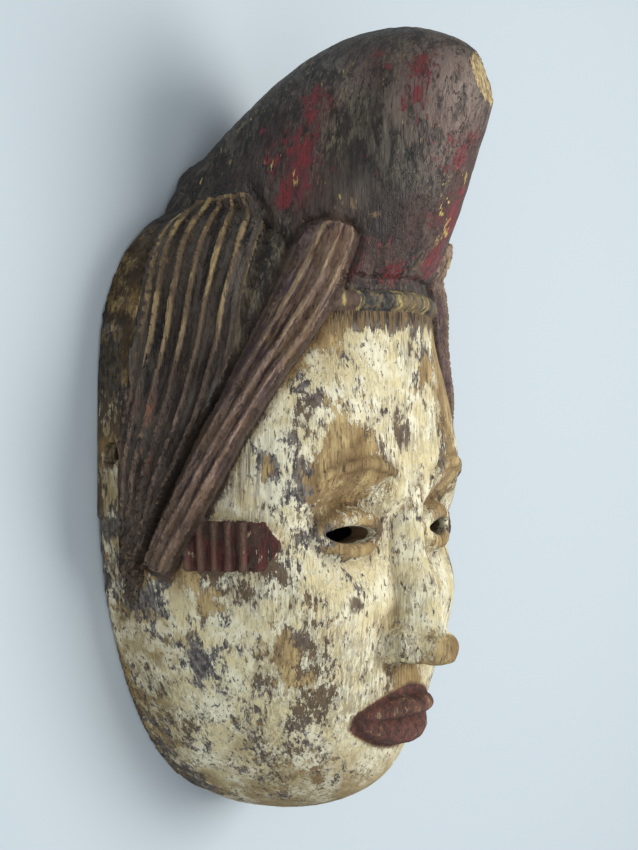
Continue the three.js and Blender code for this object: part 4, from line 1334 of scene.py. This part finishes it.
# %% Temple marks and lips
temple_coat = tree.use(flake_group, Cover=0.86, Seed=11.9, Sharpness=0.04)
ragged_temple = tree.maths("ADD", area["temple"], tree.step(scuffs, 0.36, 0.64, -0.42, 0.1))
on_temple = tree.times(tree.step(ragged_temple, 0.35, 0.55), temple_coat["Paint"])
oxblood = tree.two_tone(streaks, 0.42, 0.62, (0.115, 0.030, 0.026), (0.045, 0.026, 0.020))
oxblood = tree.fleck(oxblood, mottle, 0.44, 0.56, (0.075, 0.050, 0.036), 0.75)
oxblood = tree.fleck(oxblood, area["edge_wear"], 0.3, 0.9, (0.17, 0.100, 0.065), 0.5)
colour = tree.mix(on_temple, colour, oxblood)
lip_coat = tree.use(flake_group, Cover=tree.grow(area["edge_wear"], -0.30, 0.88),
                    Seed=11.9, Sharpness=0.06)
around_lips = tree.times(tree.step(area["lips"], 0.08, 0.35), 0.85)
lip_rim = tree.two_tone(specks, 0.4, 0.6, (0.30, 0.205, 0.095), (0.15, 0.095, 0.05))
colour = tree.mix(around_lips, colour, lip_rim)
on_lips = tree.times(tree.step(area["lips"], 0.45, 0.7), lip_coat["Paint"])
lip_colour = tree.two_tone(specks, 0.36, 0.62, (0.145, 0.056, 0.042), (0.070, 0.038, 0.029))
colour = tree.mix(on_lips, colour, lip_colour)
print("temples and lips painted")

# %% [markdown]
# The headband is a painted rope: ochre in the middle with a dark line in it, dark at its sides,
# then thin ochre stripes on brown. The stripes are steps in the distance from the middle, so
# both halves match. Under it hangs the dark fringe, and its strokes run down the grain.

# %% Fringe and headband's paint
ragged_fringe = tree.maths("ADD", area["fringe"], tree.step(streaks, 0.38, 0.62, -0.38, 0.38))
on_fringe = tree.times(tree.step(ragged_fringe, 0.3, 0.55), tree.step(fibre, 0.3, 0.5, 0.5, 1),
                       tree.step(area["fringe"], 0.02, 0.12))
fringe_colour = tree.two_tone(streaks, 0.40, 0.58, (0.035, 0.026, 0.020), (0.205, 0.140, 0.070))
colour = tree.mix(on_fringe, colour, fringe_colour)
off_centre = tree.maths("ABSOLUTE", tree.grow(fibre, 0.0012, from_middle))
STRIPE_EDGE = 0.3  # mm, half the width of a painted edge


def stripe(start, end):
    """1 between two distances from the middle of the band, in millimetres."""
    begun, ended = (
        tree.step(off_centre, (at - sign * STRIPE_EDGE) / 1000, (at + sign * STRIPE_EDGE) / 1000)
        for at, sign in ((start, 1), (end, -1)))
    return tree.times(begun, ended)


stripes = tree.most(stripe(-1.0, 4.2), stripe(5.4, 11.6))
stripes = tree.most(stripes, tree.most(stripe(25.0, 26.6), stripe(31.6, 33.0)))
rope = tree.two_tone(specks, 0.4, 0.62, (0.020, 0.022, 0.026), (0.080, 0.076, 0.066))
rope = tree.fleck(rope, scuffs, 0.52, 0.62, (0.26, 0.19, 0.10), 0.6)
rope = tree.mix(tree.times(stripe(26.6, 60.0), 0.7), rope, (0.135, 0.080, 0.058))
rope_ochre = tree.two_tone(scuffs, 0.42, 0.58, (0.42, 0.33, 0.13), (0.16, 0.115, 0.06))
rope = tree.mix(tree.times(stripes, tree.step(specks, 0.60, 0.46)), rope, rope_ochre)
colour = tree.mix(tree.times(tree.step(area["band"], 0.3, 0.6), 0.92), colour, rope)
print("fringe and headband painted")

# %% [markdown]
# The break at the crest's tip is fresh, pale wood with a ragged edge. The hollow was never
# painted: it is wood darkened by wear and sweat.

# %% The break and the hollow
fresh = tree.two_tone(streaks, 0.42, 0.6, (0.60, 0.47, 0.22), (0.33, 0.22, 0.09))
fresh = tree.fleck(fresh, specks, 0.46, 0.6, (0.12, 0.085, 0.05), 0.8)
torn = tree.maths("ADD", area["chip"], tree.step(scuffs, 0.36, 0.64, -0.45, 0.35))
colour = tree.mix(tree.step(torn, 0.45, 0.6), colour, fresh)
raw = tree.use(wood_group, Darkness=0.74)
colour = tree.mix(tree.step(area["hollow"], 0.3, 0.7), colour, raw["Color"])
print("break and hollow bare")

# %% [markdown]
# Insects have bored two small holes in the cheek, and a knot shows beside the nose. Each is the
# distance from one place, cut at a radius, which is sharper than a mesh of this size could be.
# The black inside the holes is painted shade.


# %% Two insect holes and a knot
def spot(place_mm, inner, outer_edge):
    """1 inside a small round place given in millimetres, 0 outside it."""
    away = tree.node("ShaderNodeVectorMath", operation="DISTANCE")
    tree.put(away.inputs[0], tree.node("ShaderNodeTexCoord").outputs["Object"])
    away.inputs[1].default_value = [value / 1000 for value in place_mm]
    return tree.step(away.outputs["Value"], outer_edge / 1000, inner / 1000)


KNOT = (-33.0, -67.5, 89.0)
holes = tree.most(spot((-48.3, -76.4, 78.6), 0.8, 1.5), spot((-40.0, -94.4, 79.8), 0.8, 1.5))
# painted shade: the inside of each hole is black
colour = tree.mix(holes, colour, (0.006, 0.005, 0.004))
knot = tree.maths("SUBTRACT", spot(KNOT, 3.4, 4.6), spot(KNOT, 1.6, 3.0))
knot = tree.times(knot, tree.step(specks, 0.34, 0.5), 0.8)
colour = tree.mix(knot, colour, (0.085, 0.055, 0.035))
print("two holes and a knot")

# %% [markdown]
# Dirt and painted shade come last. Both are multiplied in, so that every coat below goes
# browner in its own way. The dirt is thickest in the recesses, and the grooves beside the
# locks and between the temple ribs are darkened with it as painted shade. The hair's old
# paint has some sheen, while kaolin is quite matt.

# %% Dirt and painted shade
dirt_and_shade = tree.times(area["grime"], tree.step(mottle, 0.3, 0.65, 0.3, 1.0), 0.7)
dirt_and_shade = tree.most(dirt_and_shade, tree.times(area["recess"], 0.8))
# painted shade: the grooves beside the locks and between the temple ribs get the dirt's brown
dirt_and_shade = tree.most(dirt_and_shade, tree.times(area["groove"], 0.95))
colour = tree.mix(dirt_and_shade, colour, (0.32, 0.235, 0.14), "MULTIPLY")
print("dirt laid")

# %% Sheen and relief
surface = tree.node("ShaderNodeBsdfPrincipled")
tree.put(surface.inputs["Base Color"], colour)
MATT, SHEEN = 0.84, 0.45
rough = tree.step(area["hair"], 0.3, 0.7, MATT, SHEEN)
tree.put(surface.inputs["Roughness"], tree.grow(specks, 0.18, rough))
surface.inputs["Specular IOR Level"].default_value = 0.36
for relief, depth in ((tree.times(scuffs, on_hair), 3.0), (tree.times(streaks, on_hair), 0.9),
                      (tree.most(pits, cracks), -0.5), (holes, -1.5)):
    height = tree.grow(relief, depth, height)
bump = tree.node("ShaderNodeBump")
bump.inputs["Strength"].default_value = 0.9
bump.inputs["Distance"].default_value = 0.0005
tree.put(bump.inputs["Height"], height)
tree.put(surface.inputs["Normal"], bump.outputs[0])
output = tree.node("ShaderNodeOutputMaterial")
tree.put(output.inputs["Surface"], surface.outputs[0])
fine.materials.append(painted)
print("painted_wood has", len(painted.node_tree.nodes), "nodes")

# %% [markdown]
# ## Floor and light
# The mask lies on a pale blue-grey table. The light is soft and comes from the right and the
# top of the picture, so a broad weak shadow falls to the left of the rim.

# %% The table
table_mesh = bpy.data.meshes.new("table")
flat = bmesh.new()
bmesh.ops.create_grid(flat, x_segments=1, y_segments=1, size=3.0)
flat.to_mesh(table_mesh)
flat.free()
table = bpy.data.objects.new("table", table_mesh)
bpy.context.scene.collection.objects.link(table)
table_paint = bpy.data.materials.new("pale_table")
table_paint.use_nodes = True
table_surface = table_paint.node_tree.nodes["Principled BSDF"]
table_surface.inputs["Base Color"].default_value = (0.445, 0.50, 0.53, 1.0)
table_surface.inputs["Roughness"].default_value = 0.8
table_mesh.materials.append(table_paint)
print("table:", tuple(round(size, 1) for size in table.dimensions), "metres")

# %% [markdown]
# A window of soft light stands to the right, and a weaker one fills the left side. A sun lamp
# would draw a hard shadow, so both are areas, and the sky's pale blue does the rest. The
# Standard view keeps the kaolin as white as the photograph shows it.

# %% The lights
studio = bpy.data.worlds.new("studio")
bpy.context.scene.world = studio
studio.use_nodes = True
studio.node_tree.nodes["Background"].inputs["Color"].default_value = (0.86, 0.93, 1.0, 1.0)
studio.node_tree.nodes["Background"].inputs["Strength"].default_value = 0.46


def soft_light(name, place, aim, size, power, colour):
    data = bpy.data.lights.new(name, "AREA")
    data.energy, data.size, data.color = power, size, colour
    lamp = bpy.data.objects.new(name, data)
    lamp.location = place
    lamp.rotation_euler = (Vector(aim) - lamp.location).to_track_quat("-Z", "Y").to_euler()
    bpy.context.scene.collection.objects.link(lamp)


soft_light("window", (0.50, 0.10, 1.10), (0, 0, 0.05), 0.7, 13.5, (1.0, 0.985, 0.96))
soft_light("fill", (-0.75, -0.25, 0.85), (0, 0, 0.05), 1.2, 7.0, (0.96, 0.98, 1.0))
bpy.context.scene.view_settings.view_transform = "Standard"
print("lights:", ", ".join(light.name for light in bpy.data.lights))

# %% [markdown]
# ## Sizes
# Blender must not change the object's size. The CAD box is printed when the part is loaded.
